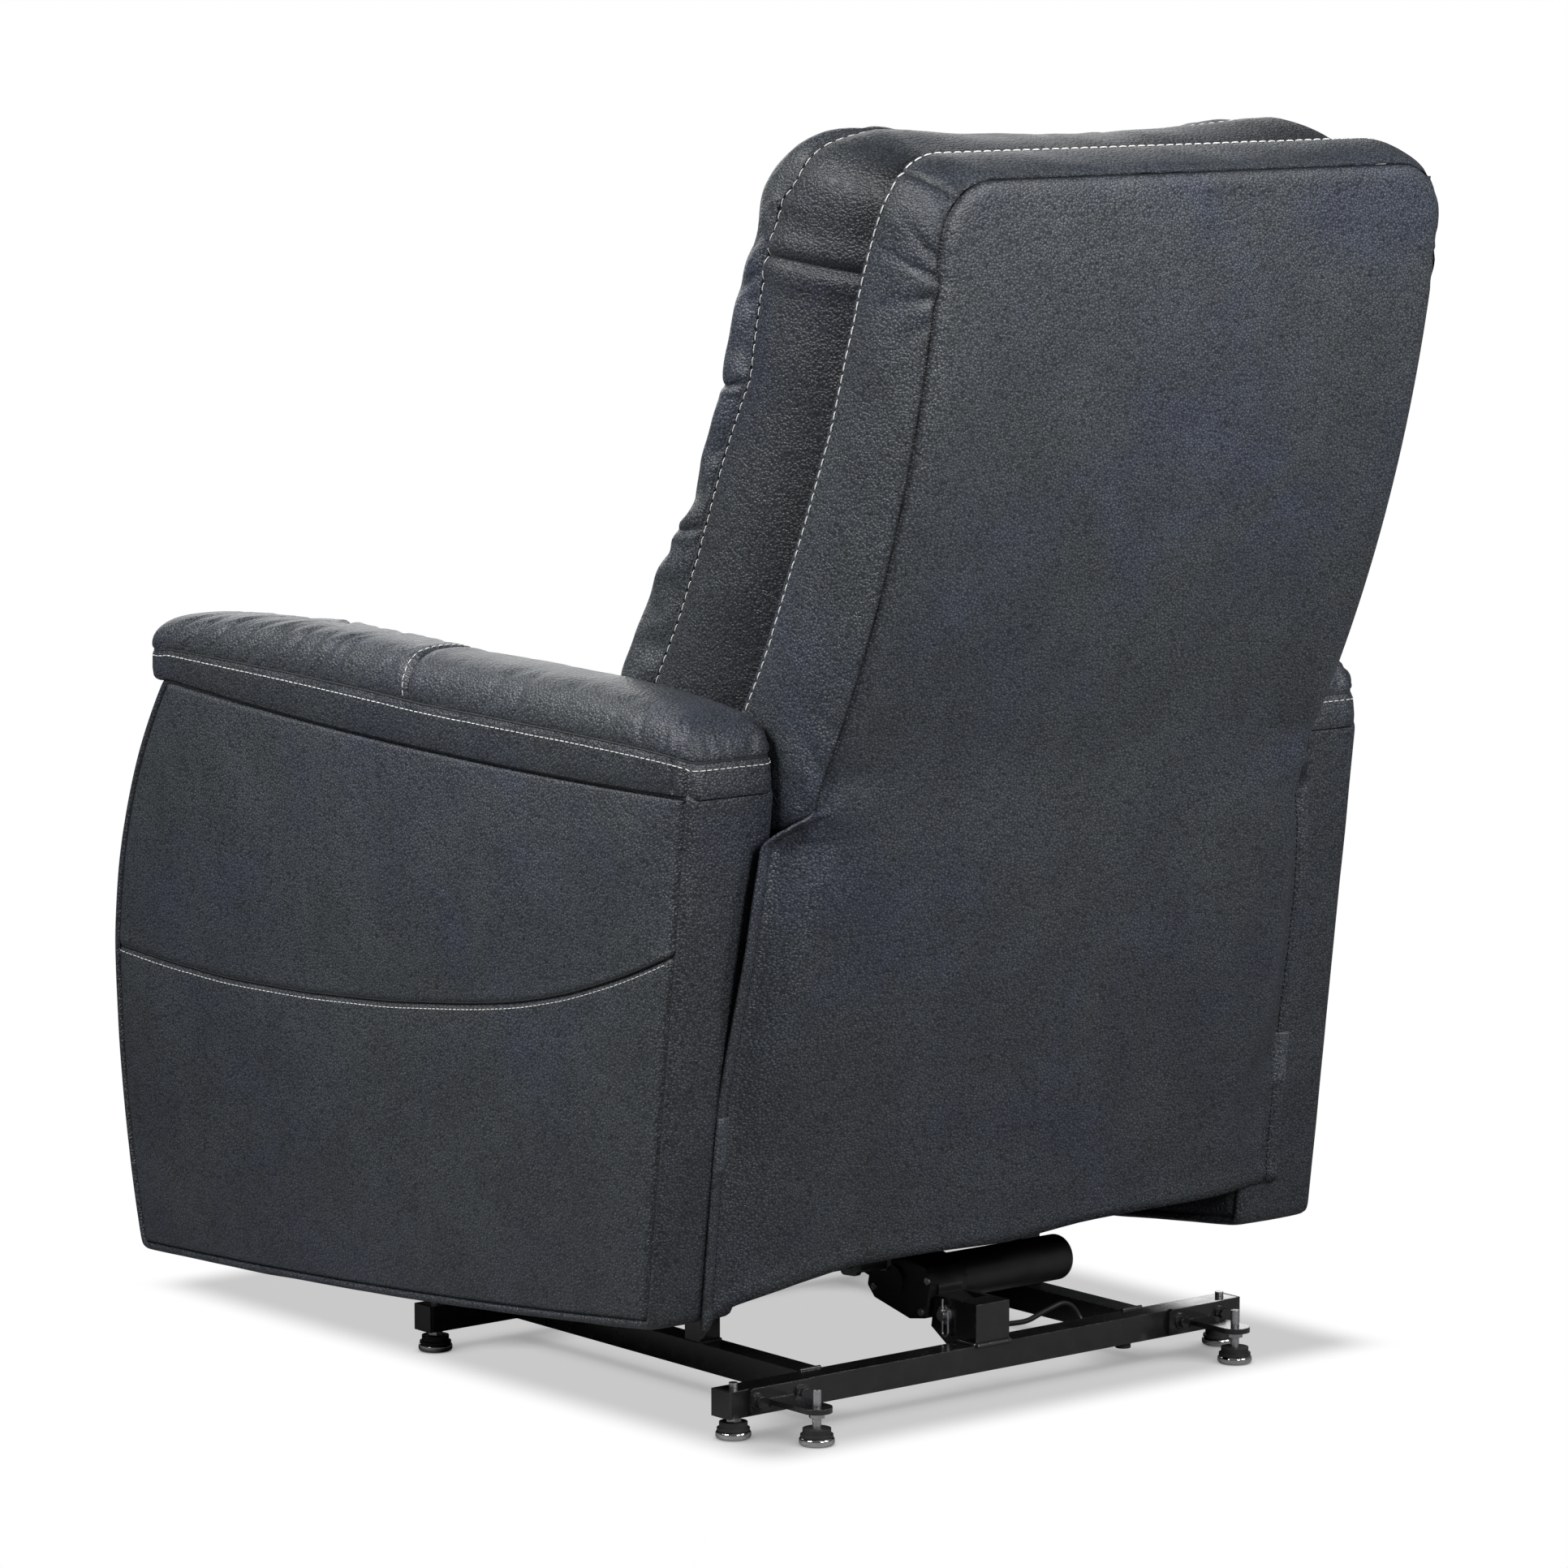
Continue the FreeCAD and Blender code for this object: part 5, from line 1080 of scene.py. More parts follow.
tab_leather = leather_material("tab_leather", 1.5)
for name, side in (("left", 1), ("right", -1)):
    tab = piece("tab_" + name, [tab_patch(side)], tab_leather)
    heights = (TAB_LOW + 2.2, TAB_HIGH - 2.2)
    rows = [np.array([(side * 341.0, 60, at), (side * 329.0, 62, at)]) for at in heights]
    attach(tab, "carriage")
    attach(stitches("tab_stitches_" + name, tab, rows, dark_thread_and_seam_shadow, 3.2, 2.3, 0.35), "carriage")
frame["nodes"]["skirt_tabs"].data.materials[0] = leather

W1 = pairs(
    3, 546, 34, 598, 58.7, 635.7, 95.3, 689.6, 129, 750.4, 162, 810.7, 204, 892.2, 228, 953.4,
    240, 981, 254, 1018, 272, 1056, 285, 1078, 293, 1093, 297, 1104, 298.5, 1112, 298.5, 1125,
)
w1_y = table([(z, y) for y, z in W1], 1, 6)
LOW_SEAM = [(546, 112), (556, 145), (562, 153), (581, 160), (598, float(rear_y(598)) - ROLL)]


def seam_y(z):
    """The rear seam's place: behind the side gusset, and inside the flap below it."""
    z = np.asarray(z, float)
    pulled = 3.5 * bell(z - 1008, 10) - 1.5 * bell(z - 1030, 9)
    return np.where(z < SEAM_Z, np.interp(z, *zip(*LOW_SEAM)), rear_y(z) - ROLL + pulled)


def shell_paths():
    """Matching points on the rear seam and the gusset's front edge, each with its outward direction."""
    rear, front, out = [], [], []

    def add(rear_x, rear_z, front_x, front_z, direction):
        rear.append((rear_x, float(seam_y(rear_z)), rear_z))
        front.append((front_x, float(w1_y(front_z)), front_z))
        out.append(direction)

    for share in np.linspace(0, 1, SIDE_STEPS):
        tops = (REAR_TOP - REAR_CORNER, FRONT_TOP - FRONT_CORNER)
        za, zb = (float(np.interp(share, [0, 0.10, 1.0], [LOW_SEAM[0][0], SEAM_Z, top])) for top in tops)
        add(REAR_HALF, za, FRONT_HALF, zb, (1.0, 0.0, 0.0))
    for angle in np.radians(np.linspace(0, 90, 19)[1:]):
        c, s = 1 - math.cos(angle), 1 - math.sin(angle)
        rear_at = REAR_HALF - REAR_CORNER * c, REAR_TOP - REAR_CORNER * s
        front_at = FRONT_HALF - FRONT_CORNER * c, FRONT_TOP - FRONT_CORNER * s
        add(*rear_at, *front_at, (1 - c, 0.28 * (1 - s), 0.96 * (1 - s)))
    for share in 1 - np.linspace(0, 1, 36)[1:]:
        rear_x, front_x = (REAR_HALF - REAR_CORNER) * share, (FRONT_HALF - FRONT_CORNER) * share
        add(rear_x, REAR_TOP, front_x, FRONT_TOP, (0.0, 0.28, 0.96))
    return over_the_top(rear, front, out)


def take(paths, key, stations):
    """Points of several matched paths at stations along the path of index key."""
    run = arc_length(paths[key])
    return [np.stack([np.interp(stations, run, p) for p in path.T], axis=1) for path in paths]


SIDE_STEPS = 74
shell = shell_paths()
shell_run = arc_length(shell[0])
SHELL_LENGTH = float(shell_run[-1])
MITRE = float(shell_run[SIDE_STEPS + 8])
GATHER = float(np.interp(1020, shell[0][:SIDE_STEPS, 2], shell_run[:SIDE_STEPS]))
fine = np.arange(GATHER - 60, GATHER + 34, 3.0)
stations = marks(0, SHELL_LENGTH, 7, (MITRE, SHELL_LENGTH - MITRE))
stations = np.sort(np.concatenate([stations, fine, SHELL_LENGTH - fine]))
stations = stations[np.diff(stations, prepend=-1.0) > 0.4]
shell_rear, shell_front, shell_out = take(shell, 0, stations)


# Gathers at the gusset's upper corner: place, slope, depth and width
GATHERS = [(12, 0.50, 4.2, 5.0), (-4, 0.12, 5.6, 4.2), (-20, -0.42, 5.0, 6.0), (-44, -0.7, 2.4, 7.0)]


def gusset():
    """The leather along the back's sides and over its top, between the rear panel and the cushion."""
    ws = [0, 0.008, 0.02, 0.04, 0.065, 0.095, 0.13, 0.17, 0.22, 0.28, 0.35, 0.42, 0.50, 0.58, 0.66, 0.73]
    ws = np.array(ws + [0.80, 0.86, 0.905, 0.94, 0.965, 0.983, 1.0])[:, None]
    span = np.linalg.norm(shell_front - shell_rear, axis=1)[None]
    forward = unit(shell_front - shell_rear)
    behind, ahead = ws * span, (1 - ws) * span
    puff = 4.6 * (1 - np.exp(-behind / 7.0)) + 2.2 * np.sin(ws * math.pi) - 0.9 * np.exp(-ahead / 3.0)
    puff = puff - 0.9 * bell(ahead - 4.5, 1.6)
    run = stations[None]
    grid = shell_rear[None] * (1 - ws[..., None]) + shell_front[None] * ws[..., None]
    middle = np.sin(ws * math.pi)
    ripple = wobble(grid, 60.0, 4.0) * 2.0 * middle + wobble(grid, 26.0, 14.0) * 0.7 * np.exp(-behind / 26)
    dark = bell(behind, 1.5)
    for start, way in ((0.0, 1.0), (SHELL_LENGTH, -1.0)):
        mitre, gathered = start + way * MITRE, start + way * GATHER
        gap = run - mitre + 0 * behind
        ripple = ripple - 1.9 * bell(gap, 2.4) + 0.9 * bell(np.abs(gap) - 8, 6)
        dark = np.maximum(dark, bell(gap, 1.3))
        for place, slope, depth, width in GATHERS:
            line = (run - gathered - place) * way - slope * behind
            ripple = ripple - depth * bell(line, width) * np.exp(-behind / 26) * smooth(behind / 5)
        for place, slope in ((40, 0.8), (75, 1.1), (120, 0.7)):
            line = (run - start) * way - place - slope * behind
            ripple = ripple - 2.6 * bell(line, 7.0) * np.exp(-behind / 60) * smooth(behind / 6)
    rows, shades = list(grid + shell_out[None] * (puff + ripple)[..., None]), list(dark)
    edge = rows[-1]
    # The lip that turns in under the gusset's front edge, darkened toward the inside as painted shade
    for inner, back, shade in ((0.9, 0.9, 0.25), (2.6, 1.0, 0.8), (6.0, 0.0, 1.0), (9.0, -9.0, 1.0)):
        rows.append(edge - shell_out * inner + forward * back)
        shades.append(np.full(len(edge), shade))
    return np.array(rows), np.array(shades), False


gusset_patch = gusset()
gusset_leather = piece("back_gusset_leather", [gusset_patch])
mitre_at = nearest(stations, (MITRE, SHELL_LENGTH - MITRE))
# Near-black rods in the mitre seams as painted seam shadow
mitre_seam_shadow = seam_shadow_cords("mitre_seam_shadow", gusset_leather, [gusset_patch[0][1:-4, k] for k in mitre_at])
along_edge = shell_front - (shell_front - shell_rear) / 100.0 * 4.2
gusset_thread = stitches("gusset_stitches", gusset_leather, [(along_edge + shell_out * 4.0)[8:-8]], lift=0.5)
# The hidden inner face of the outer back, seen only when the cushion moves
zs, xs = np.linspace(SEAM_Z, REAR_TOP - 12, 30), np.linspace(-REAR_HALF + 9, REAR_HALF - 9, 20)
inner = np.array([[(x, rear_y(z) - ROLL - 4.0, z) for x in xs] for z in zs])
lining = piece("back_lining", [(inner, 0.4, False)])
stand_in(gusset_leather, "back", "back_shell")
for made in (gusset_thread, mitre_seam_shadow, lining):
    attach(made, "back")
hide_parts("rear_skirt")
flap_top, flap_low = (tuple(to_world(place)) for place in ((0, 178, 600), (0, 110, 400)))
for made in (rear_leather, flap_thread):
    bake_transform(made)

# Back cushion

W2 = pairs(
    -152, 352, -162, 440, -146, 540, -110, 600, -69, 660, -50.4, 686, -19.9, 733, 11, 789, 31, 830,
    53, 873, 79, 916, 92, 936, 98.5, 960, 109, 1000, 124.5, 1044, 136, 1064, 143, 1082, 148, 1091,
    161, 1100, 167, 1107, 170.5, 1118, 176, 1130, 183, 1137, 191, 1143,
)
w2_y = table([(z, y) for y, z in W2], 1, 3)
CROWN = pairs(
    352, -164, 362, -178, 440, -196, 540, -201, 600, -181, 655, -148, 690, -125, 763, -74, 807, -34,
    835, -13, 893, 25, 932, 42, 969, 53, 1030, 78, 1074, 95, 1104, 102, 1126, 113,
)
crown_y = table(CROWN + [(1145, 132)], 1, 9)
SHELL_LINE = [(-110, 352), (-60, 440), (0, 540)] + W1[1:]
shell_y = table([(z, y) for y, z in SHELL_LINE], 1, 7)
CUSHION_LOW, FACE_TOP = 352, 1133
CUSHION_HALF, BAND_HALF, BAND_TOP, BAND_CORNER = 292.0, 273.0, 1100.0, 36.0
SHOULDER = [(292, 1085), (291, 1098), (288, 1111), (281, 1123), (270, 1131.5), (252, 1138), (228, 1142)]
RIDGE = [(228, 1142), (200, 1141.5), (150, 1138), (104, 1135.5), (40, 1133.5), (0, 1133)]
CHANNELS = (655.0, 806.0, 932.0)
CORNER_Z = SHOULDER[0][1]
ridge_rows = [(sign * x, z) for sign in (-1, 1) for x, z in SHOULDER + RIDGE[1:-1]]
ridge_z = table(ridge_rows + RIDGE[-1:], 1, 2)
SWELL = pairs(
    -292, 3, -262, 3, -230, 1, -210, 4, -173, 6, -136, 3, -117, 2, -54, 7, -10, 7, 25, 5, 60, 9,
    100, 8, 133, 6, 175, 7, 204, 9, 250, 12, 292, 8,
)
top_swell = table(SWELL, 1, 6)


def cushion_paths():
    """Matching points under the gusset's edge and along the cushion's own seam, with outward directions."""
    inner, seam, out = [], [], []

    def add(inner_x, inner_z, seam_x, seam_z, direction):
        inner.append((inner_x, float(shell_y(inner_z)) + 5, inner_z))
        seam.append((seam_x, float(w2_y(seam_z)), seam_z))
        out.append(direction)

    for share in np.linspace(0, 1, 110):
        stops = ((598, 1018, BAND_TOP - BAND_CORNER), (602, 1044, CORNER_Z))
        za, zb = (float(np.interp(share, [0, 0.34, 0.90, 1.0], [CUSHION_LOW, *zs])) for zs in stops)
        add(BAND_HALF, za, CUSHION_HALF, zb, (1.0, 0.0, 0.0))
    corner = resample(SHOULDER, np.linspace(0, 1, 22)[1:])
    for angle, at in zip(np.radians(np.linspace(0, 90, 22)[1:]), corner):
        c, s = math.cos(angle), math.sin(angle)
        add(BAND_HALF - BAND_CORNER * (1 - c), BAND_TOP - BAND_CORNER * (1 - s), *at, (c, 0.4 * s, 0.92 * s))
    shares = np.linspace(0, 1, 34)[1:]
    for share, at in zip(shares, resample(RIDGE, shares)):
        add((BAND_HALF - BAND_CORNER) * (1 - share), BAND_TOP, *at, (0.0, 0.4, 0.92))
    return over_the_top(inner, seam, out)


cushion_lines = cushion_paths()
BAND_LENGTH = float(arc_length(cushion_lines[1])[-1])
CROSS = float(arc_length(cushion_lines[1])[98])
band_at = marks(0, BAND_LENGTH, 5.5, (CROSS, BAND_LENGTH - CROSS))
path1, path2, band_out = take(cushion_lines, 1, band_at)


def cushion_band():
    ws = [0, 0.03, 0.07, 0.12, 0.18, 0.25, 0.33, 0.41, 0.50, 0.59, 0.67, 0.75, 0.82, 0.88, 0.925, 0.96]
    ws = np.array(ws + [0.985, 1.0])[:, None]
    grid = path1[None] * (1 - ws[..., None]) + path2[None] * ws[..., None]
    span = np.linalg.norm(path2 - path1, axis=1)[None]
    tucked, ahead = ws * span, (1 - ws) * span
    puff = np.sin(ws**1.15 * math.pi) ** 0.75 * np.minimum(9.0, span * 0.10)
    puff = puff + 5.0 * smooth(tucked / 20) * np.exp(-ahead / 60) - 5.0 * np.exp(-ahead / 7)
    ripple = wobble(grid, 60.0, 6.0) * 2.4 * np.sin(ws * math.pi)
    ripple = ripple + wobble(grid * (1, 0.25, 1), 22.0, 8.0) * 1.3 * np.exp(-ahead / 24) * smooth(ahead / 5)
    # The band's seam is darkened. The whole band is also darkened as painted shade, most deeply where it
    # tucks in under the gusset.
    dark = np.maximum(bell(ahead, 1.6), 0.30 + 0.68 * np.exp(-((tucked / 50) ** 1.5)))
    for place, way in ((CROSS, 1.0), (BAND_LENGTH - CROSS, -1.0)):
        gap = band_at[None] - place + 0 * ahead
        ripple = ripple - 3.2 * bell(gap, 3.6) + 2.4 * bell(np.abs(gap) - 13, 10)
        dark = np.maximum(dark, bell(gap, 1.4))
        for offset, slope, depth in ((-26, 0.5, 2.2), (44, -0.35, 2.4), (62, 0.1, 1.8)):
            line = gap * way - offset - slope * ahead
            ripple = ripple - depth * bell(line, 6) * np.exp(-ahead / 26) * smooth(ahead / 5)
    return grid + band_out[None] * (puff + ripple)[..., None], dark, False


FACE_EDGE = pairs(
    0, 0, -2.2, 0.10, -3.8, 0.24, -4.2, 0.40, -3.0, 0.56, 0.5, 0.71, 6, 0.82, 14, 0.90, 24, 0.95,
    38, 0.98, 56, 1.0,
)


def cushion_front():
    """The cushion's face: a lumbar, middle and head pillow between sewn channels."""
    sides = [CUSHION_HALF - inset for inset, _ in FACE_EDGE]
    shares = [share for _, share in FACE_EDGE]
    inner = np.linspace(-sides[-1], sides[-1], 62)[1:-1]
    across = np.concatenate([-np.array(sides), inner, np.array(sides)[::-1]])
    side_share = np.concatenate([shares, np.ones(len(inner)), shares[::-1]])
    levels = marks(CUSHION_LOW, 1064, 9, CHANNELS)
    tops = [(FACE_TOP - inset, share) for inset, share in FACE_EDGE[:-1]][::-1]
    levels = [(float(level), 1.0) for level in levels] + [(1077, 1.0)] + tops
    top_z = ridge_z(np.clip(across, -CUSHION_HALF, CUSHION_HALF))
    rows, darks = [], []
    for level, share in levels:
        up = max(0.0, level - FACE_TOP) / 4.2 * top_swell(across) if share < 0.6 else 0.0 * across
        lift = (top_z - FACE_TOP) * float(smooth((level - 985) / 140))
        z = np.minimum(level, FACE_TOP) + lift + up
        border = w2_y(np.minimum(z, top_z))
        depth = border - crown_y(np.minimum(z, 1145))
        rows.append(np.column_stack([across, border - depth * side_share * share, z]))
        near = np.min([np.abs(z - c) for c in CHANNELS], axis=0)
        darks.append(0.95 * bell(near, 2.2) * (side_share > 0.3))
    grid, dark = np.array(rows), np.array(darks)
    normals = grid_normals(grid)
    if normals[20, len(across) // 2, 1] > 0:
        normals = -normals
    inset = CUSHION_HALF - np.abs(grid[..., 0])
    rise = wobble(grid, 110.0, 3.0) * 3.0
    for c in CHANNELS:
        away = grid[..., 2] - c
        deep = 0.30 + 0.70 * smooth(inset / 70)
        rise = rise - 8.0 * deep * bell(away, 4.6) + 2.0 * deep * bell(np.abs(away) - 26, 18)
        rise = rise + wobble(grid * (1.0, 0.2, 0.2), 17.0, c) * 3.0 * np.exp(-np.abs(away) / 22)
    for at in (-230, -116, 25, 129, 214):
        slanted = grid[..., 0] - at - 0.25 * (grid[..., 2] - 1100)
        rise = rise - 3.4 * bell(slanted, 6) * smooth((grid[..., 2] - 1078) / 30)
    rise = rise + wobble(grid * (0.3, 0.3, 1.0), 19.0, 21.0) * 2.2 * np.exp(-np.maximum(inset, 0) / 30)
    border = np.minimum(side_share[None], np.array([share for _, share in levels])[:, None])
    rise = rise * smooth(border / 0.35)
    return grid + normals * rise[..., None], np.maximum(dark, 0.6 * bell(border, 0.06)), False


band_patch = cushion_band()
# The band's hidden back, closing it inward, darkened as painted shade like the band
rear_patch = (np.linspace(1, 0, 12)[:, None, None] * (1, 0, 0) + (0, 1, 1)) * path1[None], 0.3, False
cushion_band_leather = piece("back_cushion_band", [band_patch, rear_patch])
cross_at = nearest(band_at, (CROSS, BAND_LENGTH - CROSS))
# Near-black rods in the cross seams as painted seam shadow
cross_seam_shadow = seam_shadow_cords("cross_seam_shadow", cushion_band_leather, [band_patch[0][2:-1, k] for k in cross_at])
cushion_face = piece("back_cushion_face", [cushion_front()])
face_toward(cushion_face, (0, -1, 0.3))


def pins_for(target, near):
    """Pin weights that near gives from the x, y and z of the target's points in the level frame."""
    return near(*to_level(mesh_points(target)).T)


def open_border(target):
    bm = bmesh.new()
    bm.from_mesh(target.data)
    border = np.array([1.0 if any(e.is_boundary for e in v.link_edges) else 0.0 for v in bm.verts])
    bm.free()
    return border


channel_pins = pins_for(cushion_face, lambda x, y, z: np.max([bell(z - c, 3.0) for c in CHANNELS], axis=0))
inflate(cushion_face, np.maximum(open_border(cushion_face), channel_pins), 3.0, 0.007, 0.03)
subdivide(cushion_face)

band_thread = stitches("band_stitches", cushion_band_leather, [path2[20:-20] + (0, 4.5, 0)])
channel_lines = []
for c in CHANNELS[:2]:
    ends = np.array([(side * 284, float(crown_y(c)) - 8, c - 7.5) for side in (-1, 1)])
    channel_lines.append(np.linspace(*ends, 140))
channel_thread = stitches("channel_stitches", cushion_face, channel_lines)
# Near-black rods in the channel seams as painted seam shadow
sunk = [line + (0, 0, 7.5) for line in channel_lines]
channel_seam_shadow = seam_shadow_cords("channel_seam_shadow", cushion_face, sunk, 0.9)
welt = tube("cushion_welt", path2 - (0, 1.4, 0) + band_out * 0.6, 2.0, leather, 8, hint=(0.1, 1, 0.2))
stand_in(cushion_face, "back", "back_cushion")
stand_in(cushion_band_leather, "back", "back_cushion")
for made in (band_thread, channel_thread, channel_seam_shadow, cross_seam_shadow, welt):
    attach(made, "back")

# Seat and footrest


def pillow(half, base, side_top, crest, pinch, corner):
    """Half of a cushion's section as (u, v), from the middle of its base round to that of its crown."""
    shoulder = half - corner
    waist = (base + side_top) / 2
    top_edge = side_top + (crest - side_top) * 0.55
    bend = side_top + (top_edge - side_top) * 0.72
    runs = [
        np.array([(0.0, base), (half * 0.5, base), (half, base)]),
        arc((half, base), (half - pinch, waist), (half, side_top), 10),
        arc((half, side_top), (half - corner * 0.3, bend), (shoulder, top_edge), 12),
        arc((shoulder, top_edge), (0, crest), (-shoulder, top_edge), 41)[:21],
    ]
    return np.concatenate([r[:-1] for r in runs[:-1]] + [runs[-1]])


def lofted(name, stations, place):
    """A closed cushion through pillow sections; place(station, u, v) puts them in the level frame."""
    rows = []
    for station in stations:
        half_line = pillow(*station[1:])
        loop = np.concatenate([half_line, (half_line * np.array([-1, 1]))[-2:0:-1]])
        rows.append(np.array([place(station[0], u, v) for u, v in loop]))
    grid = np.array(rows)
    shares = np.linspace(0, 1, 9)[:, None, None]
    caps = [row * (1 - shares) + row.mean(axis=0) * shares for row in (grid[0], grid[-1])]
    return piece(name, [(patch, 0.0, True) for patch in (grid, *caps)])


def seat_stations():
    base, front, rear, raised, full = 394.7, -790.0, -197.0, 436.0, 145.3
    rows = [(rear, base, 0.86, 0.80), (rear - 6, base, 0.95, 0.88), (rear - 14, base, 1.0, 0.93)]
    rows += [(y, base, 1.0, 1.0) for y in np.linspace(rear - 34, front + 100, 34)]
    low = [(80, base, 1.0, 0.98), (70, base + 2, 1.0, 0.975), (62, base + 16, 1.0, 0.965)]
    low += [(54, raised - 4, 1.0, 0.95), (40, raised, 1.0, 0.92), (24, raised, 0.99, 0.88)]
    low += [(14, raised + 3, 0.985, 0.80), (7, raised + 6, 0.98, 0.72), (2, raised + 11, 0.97, 0.62)]
    low += [(0, raised + 14, 0.96, 0.56)]
    made = []
    for y, under, breadth, share in rows + [(front + ahead, *rest) for ahead, *rest in low]:
        crest = base + full * share + 14.0
        made.append((y, 298.0 * breadth, under, under + (crest - under) * 0.72, crest, 3.0, 46.0))
    return made


def seat_pins(x, y, z):
    side, front = bell(np.abs(x) - 262, 5) * (z > 480), bell(y + 700, 4) * (z > 500) * 0.9
    return np.maximum(smooth((424 - z) / 8), np.maximum(side, front))


def ottoman_stations():
    bottom, top, deep, half = 150.0, 412.0, 54.0, 294.0
    end = [(0.0, 0.62, 0.95), (0.015, 0.78, 0.97), (0.04, 0.90, 0.985), (0.08, 0.96, 0.995)]
    end.append((0.14, 1.0, 1.0))
    made = []
    middle = [(s, 1.0, 1.0) for s in np.linspace(0.18, 0.82, 24)]
    for s, d, b in end + middle + [(1 - s, d, b) for s, d, b in reversed(end)]:
        made.append((bottom + (top - bottom) * s, half * b, 0.0, deep * d * 0.6, deep * d, 2.0, 34.0))
    return made


def ottoman_pins(x, y, z):
    middle, side = bell(z - 281, 4) * (y < -770), bell(np.abs(x) - 262, 4) * (y < -775) * 0.8
    return np.maximum(smooth((y + 760) / 6), np.maximum(middle, side))


def run_of_stitches(start, end):
    return np.linspace(np.array(start, float), np.array(end, float), 90)


OTTOMAN_FACE = -745.6
seat = lofted("seat_leather", seat_stations(), lambda y, u, v: (u, y, v))
ottoman = lofted("ottoman_leather", ottoman_stations(), lambda z, u, v: (u, OTTOMAN_FACE - v, z))
seat_lines = [run_of_stitches((side * 256, -700, 556), (side * 256, -215, 556)) for side in (-1, 1)]
seat_lines.append(run_of_stitches((-250, -706, 556), (250, -706, 556)))
ottoman_lines = [run_of_stitches((-262, -812, 274), (262, -812, 274))]
for target, pins, cap, body, cad, lines in (
    (seat, seat_pins, 0.010, "seat", "seat_cushion", seat_lines),
    (ottoman, ottoman_pins, 0.009, "ottoman", "ottoman_pad", ottoman_lines),
):
    inflate(target, pins_for(target, pins), 2.5, cap, 0.025)
    subdivide(target)
    stand_in(target, body, cad)
    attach(stitches(body + "_stitches", target, lines), body)

# Power lead

LEAD = [
    (-34, -30, 48), (-50, -30, 48), (-68, -33, 46), (-86, -36, 45), (-104, -41, 48), (-122, -44, 51),
    (-139, -46, 54), (-152, -46, 47), (-158, -42, 33), (-160, -30, 25), (-160, -17, 25),
]
LEAD_THICK = 0.005
lead_curve = bpy.data.curves.new("lead", "CURVE")
lead_curve.dimensions = "3D"
lead_curve.bevel_depth = LEAD_THICK / 2
lead_curve.bevel_resolution = 5
lead_curve.resolution_u = 10
spline = lead_curve.splines.new("NURBS")
spline.points.add(len(LEAD) - 1)
for point, place in zip(spline.points, LEAD):
    point.co = (*to_world(place, level=False), 1.0)
spline.order_u = 3
spline.use_endpoint_u = True
lead = link("lead", lead_curve)
lead_curve.materials.append(slot_materials["cord_sheath"])
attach(lead, "base")
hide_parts("power_lead")
tuple(to_world(LEAD[0], level=False))

# Weld beads and small metal details


def bead(name, start, end, radius=1.7):
    path = np.linspace(np.array(start, float), np.array(end, float), 26)
    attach(tube(name, path, radius, weld_metal, 7, False, 0.28), "base")


bead("bead_block_rear", (-21, 14.5, 45.4), (21, 14.5, 45.4))
for name, sign in (("left", 1), ("right", -1)):
    rail = sign * 195
    bead("bead_block_" + name, (sign * 21, 12, 45.4), (sign * 21, -12, 45.4))
    bead("bead_rail_" + name, (rail - 12, -13.2, 45.2), (rail + 12, -13.2, 45.2))
    bead("bead_post_" + name, (rail - 12, -155.6, 45.4), (rail + 12, -155.6, 45.4))
    bead("bead_bracket_" + name, (sign * 239, 18.2, 28.2), (sign * 266, 18.2, 28.2), 1.5)

# Studio

# The floor that the camera sees glows white with a painted shadow: a grey rectangle under the chair, with
# soft edges, in metres, and its shade.
SHADOW_X, SHADOW_Y, SHADOW_SOFT, SHADOW_SHADE = (-0.405, 0.325), (-0.575, 0.360), 0.035, 0.584
FLOOR_HALF, FLOOR_Z = 40, -0.0004


def for_camera(tree, out, plain, seen):
    """Ends a tree in one shader for what the camera sees itself, and another for all other rays."""
    ray = node(tree, "LightPath").outputs["Is Camera Ray"]
    both = node(tree, "MixShader", {0: ray, 1: plain, 2: seen})
    feed(tree, out.inputs["Surface"], both.outputs["Shader"])


floor_mesh = bpy.data.meshes.new("floor")
corners = [(a * FLOOR_HALF, b * FLOOR_HALF, FLOOR_Z) for a, b in ((-1, -1), (1, -1), (1, 1), (-1, 1))]
floor_mesh.from_pydata(corners, [], [(0, 1, 2, 3)])
floor = link("floor", floor_mesh)
floor_material, tree, shader = new_material("pale_floor")
for key, value in (("Base Color", 0.24), ("Roughness", 0.9), ("Specular IOR Level", 0.1)):
    feed(tree, shader.inputs[key], value)
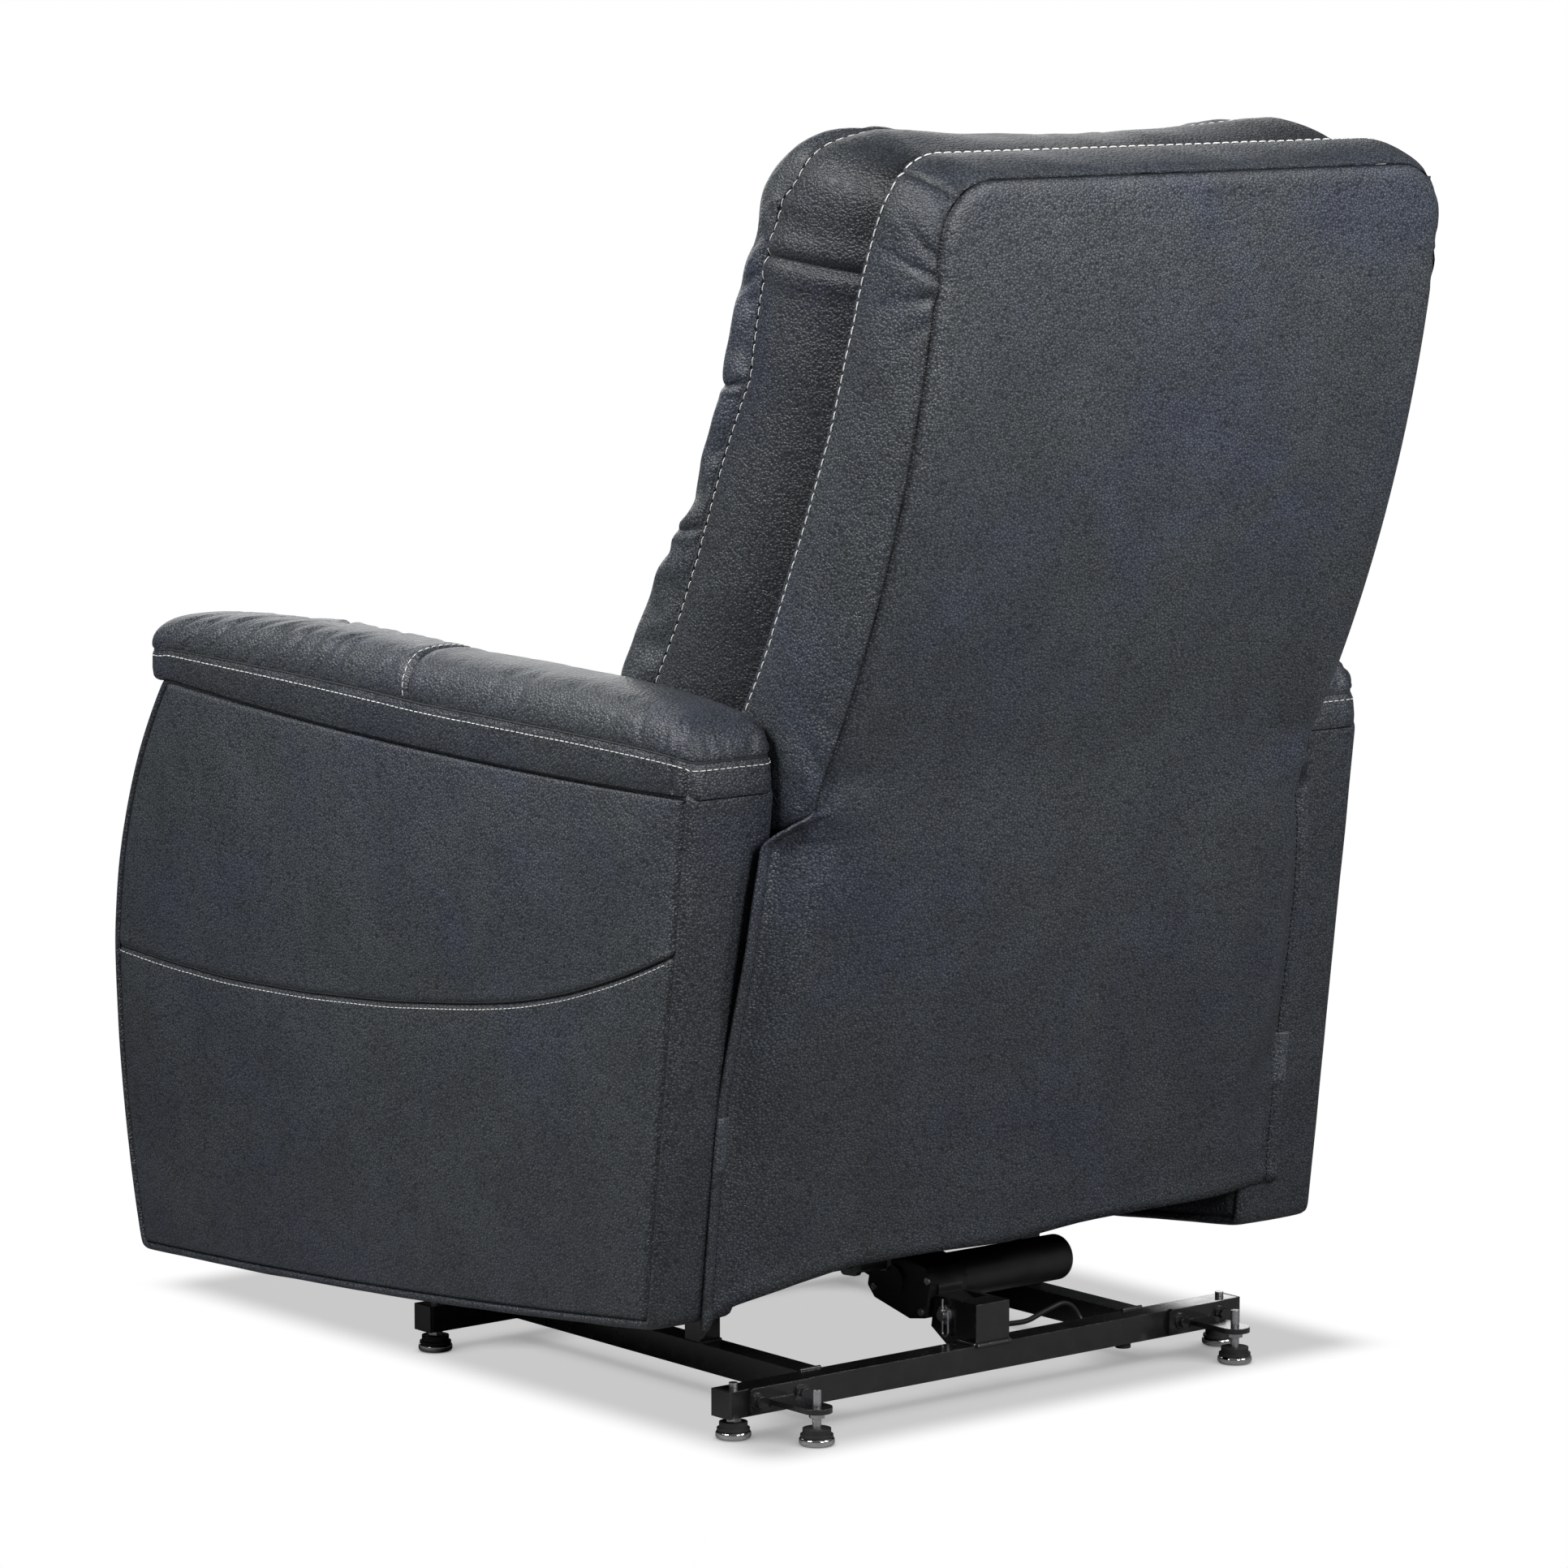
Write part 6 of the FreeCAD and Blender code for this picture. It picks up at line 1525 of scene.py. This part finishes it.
# Painted contact shadow from ambient occlusion, together with the painted rectangle shadow, makes the colour
# of the floor's glow.
open_sky = node(tree, "AmbientOcclusion", {"Distance": 0.05}, samples=16)
painted_contact_shadow = ramp(tree, open_sky.outputs["AO"], (0.10, 0.30), (0.75, 1.0))
place = node(tree, "SeparateXYZ", {"Vector": coordinates(tree)})
inside = None
for axis, low, high in (("X", *SHADOW_X), ("Y", *SHADOW_Y)):
    for edge, way in ((low, 1.0), (high, -1.0)):
        beyond = maths(tree, "SUBTRACT", place.outputs[axis], edge)
        across = maths(tree, "MULTIPLY", beyond, way / SHADOW_SOFT / 2)
        part = ramp(tree, maths(tree, "ADD", across, 0.5), (0.0, 0.0), (1.0, 1.0))
        tree.nodes[-1].color_ramp.interpolation = "EASE"
        inside = part if inside is None else maths(tree, "MULTIPLY", inside, part)
shade = mix(tree, 1.0, mix(tree, inside, 1.0, SHADOW_SHADE), painted_contact_shadow, "MULTIPLY")
glow = node(tree, "Emission", {"Color": shade})
out = next(n for n in tree.nodes if n.type == "OUTPUT_MATERIAL")
for_camera(tree, out, shader.outputs["BSDF"], glow.outputs["Emission"])
floor_mesh.materials.append(floor_material)

world = bpy.data.worlds.new("studio")
scene.world = world
world.use_nodes = True
tree = world.node_tree
tree.nodes.clear()
shown = node(tree, "Background", {"Color": 1.0, "Strength": 1.0})
lit = node(tree, "Background", {"Color": (0.93, 0.97, 1.0), "Strength": 0.10})
for_camera(tree, node(tree, "OutputWorld"), lit.outputs["Background"], shown.outputs["Background"])


def softbox(name, location, target, size, power, spread=180):
    """A soft lamp; spread, in degrees, is how wide it shines."""
    data = bpy.data.lights.new(name, "AREA")
    data.shape = "RECTANGLE"
    data.spread = math.radians(spread)
    data.size, data.size_y = size
    data.energy = power
    made = link(name, data)
    made.visible_camera = False
    made.location = location
    made.rotation_mode = "QUATERNION"
    made.rotation_quaternion = (Vector(target) - Vector(location)).to_track_quat("-Z", "Y")


softbox("key", (-1.9, 3.4, 3.0), (0.0, 0.3, 0.9), (1.4, 1.5), 103)
softbox("back", (0.3, 2.5, 1.6), (0.0, 0.55, 1.08), (0.8, 0.8), 9.4, 60)
softbox("side", (2.2, 0.1, 2.0), (0.3, 0.05, 0.8), (0.9, 0.9), 14.2, 80)
softbox("pads", (1.5, -0.9, 2.0), (0.35, -0.1, 0.7), (0.8, 0.8), 3.8, 60)
softbox("front", (-2.4, -4.4, 2.4), (0.0, 0.0, 0.6), (4.0, 3.0), 92)
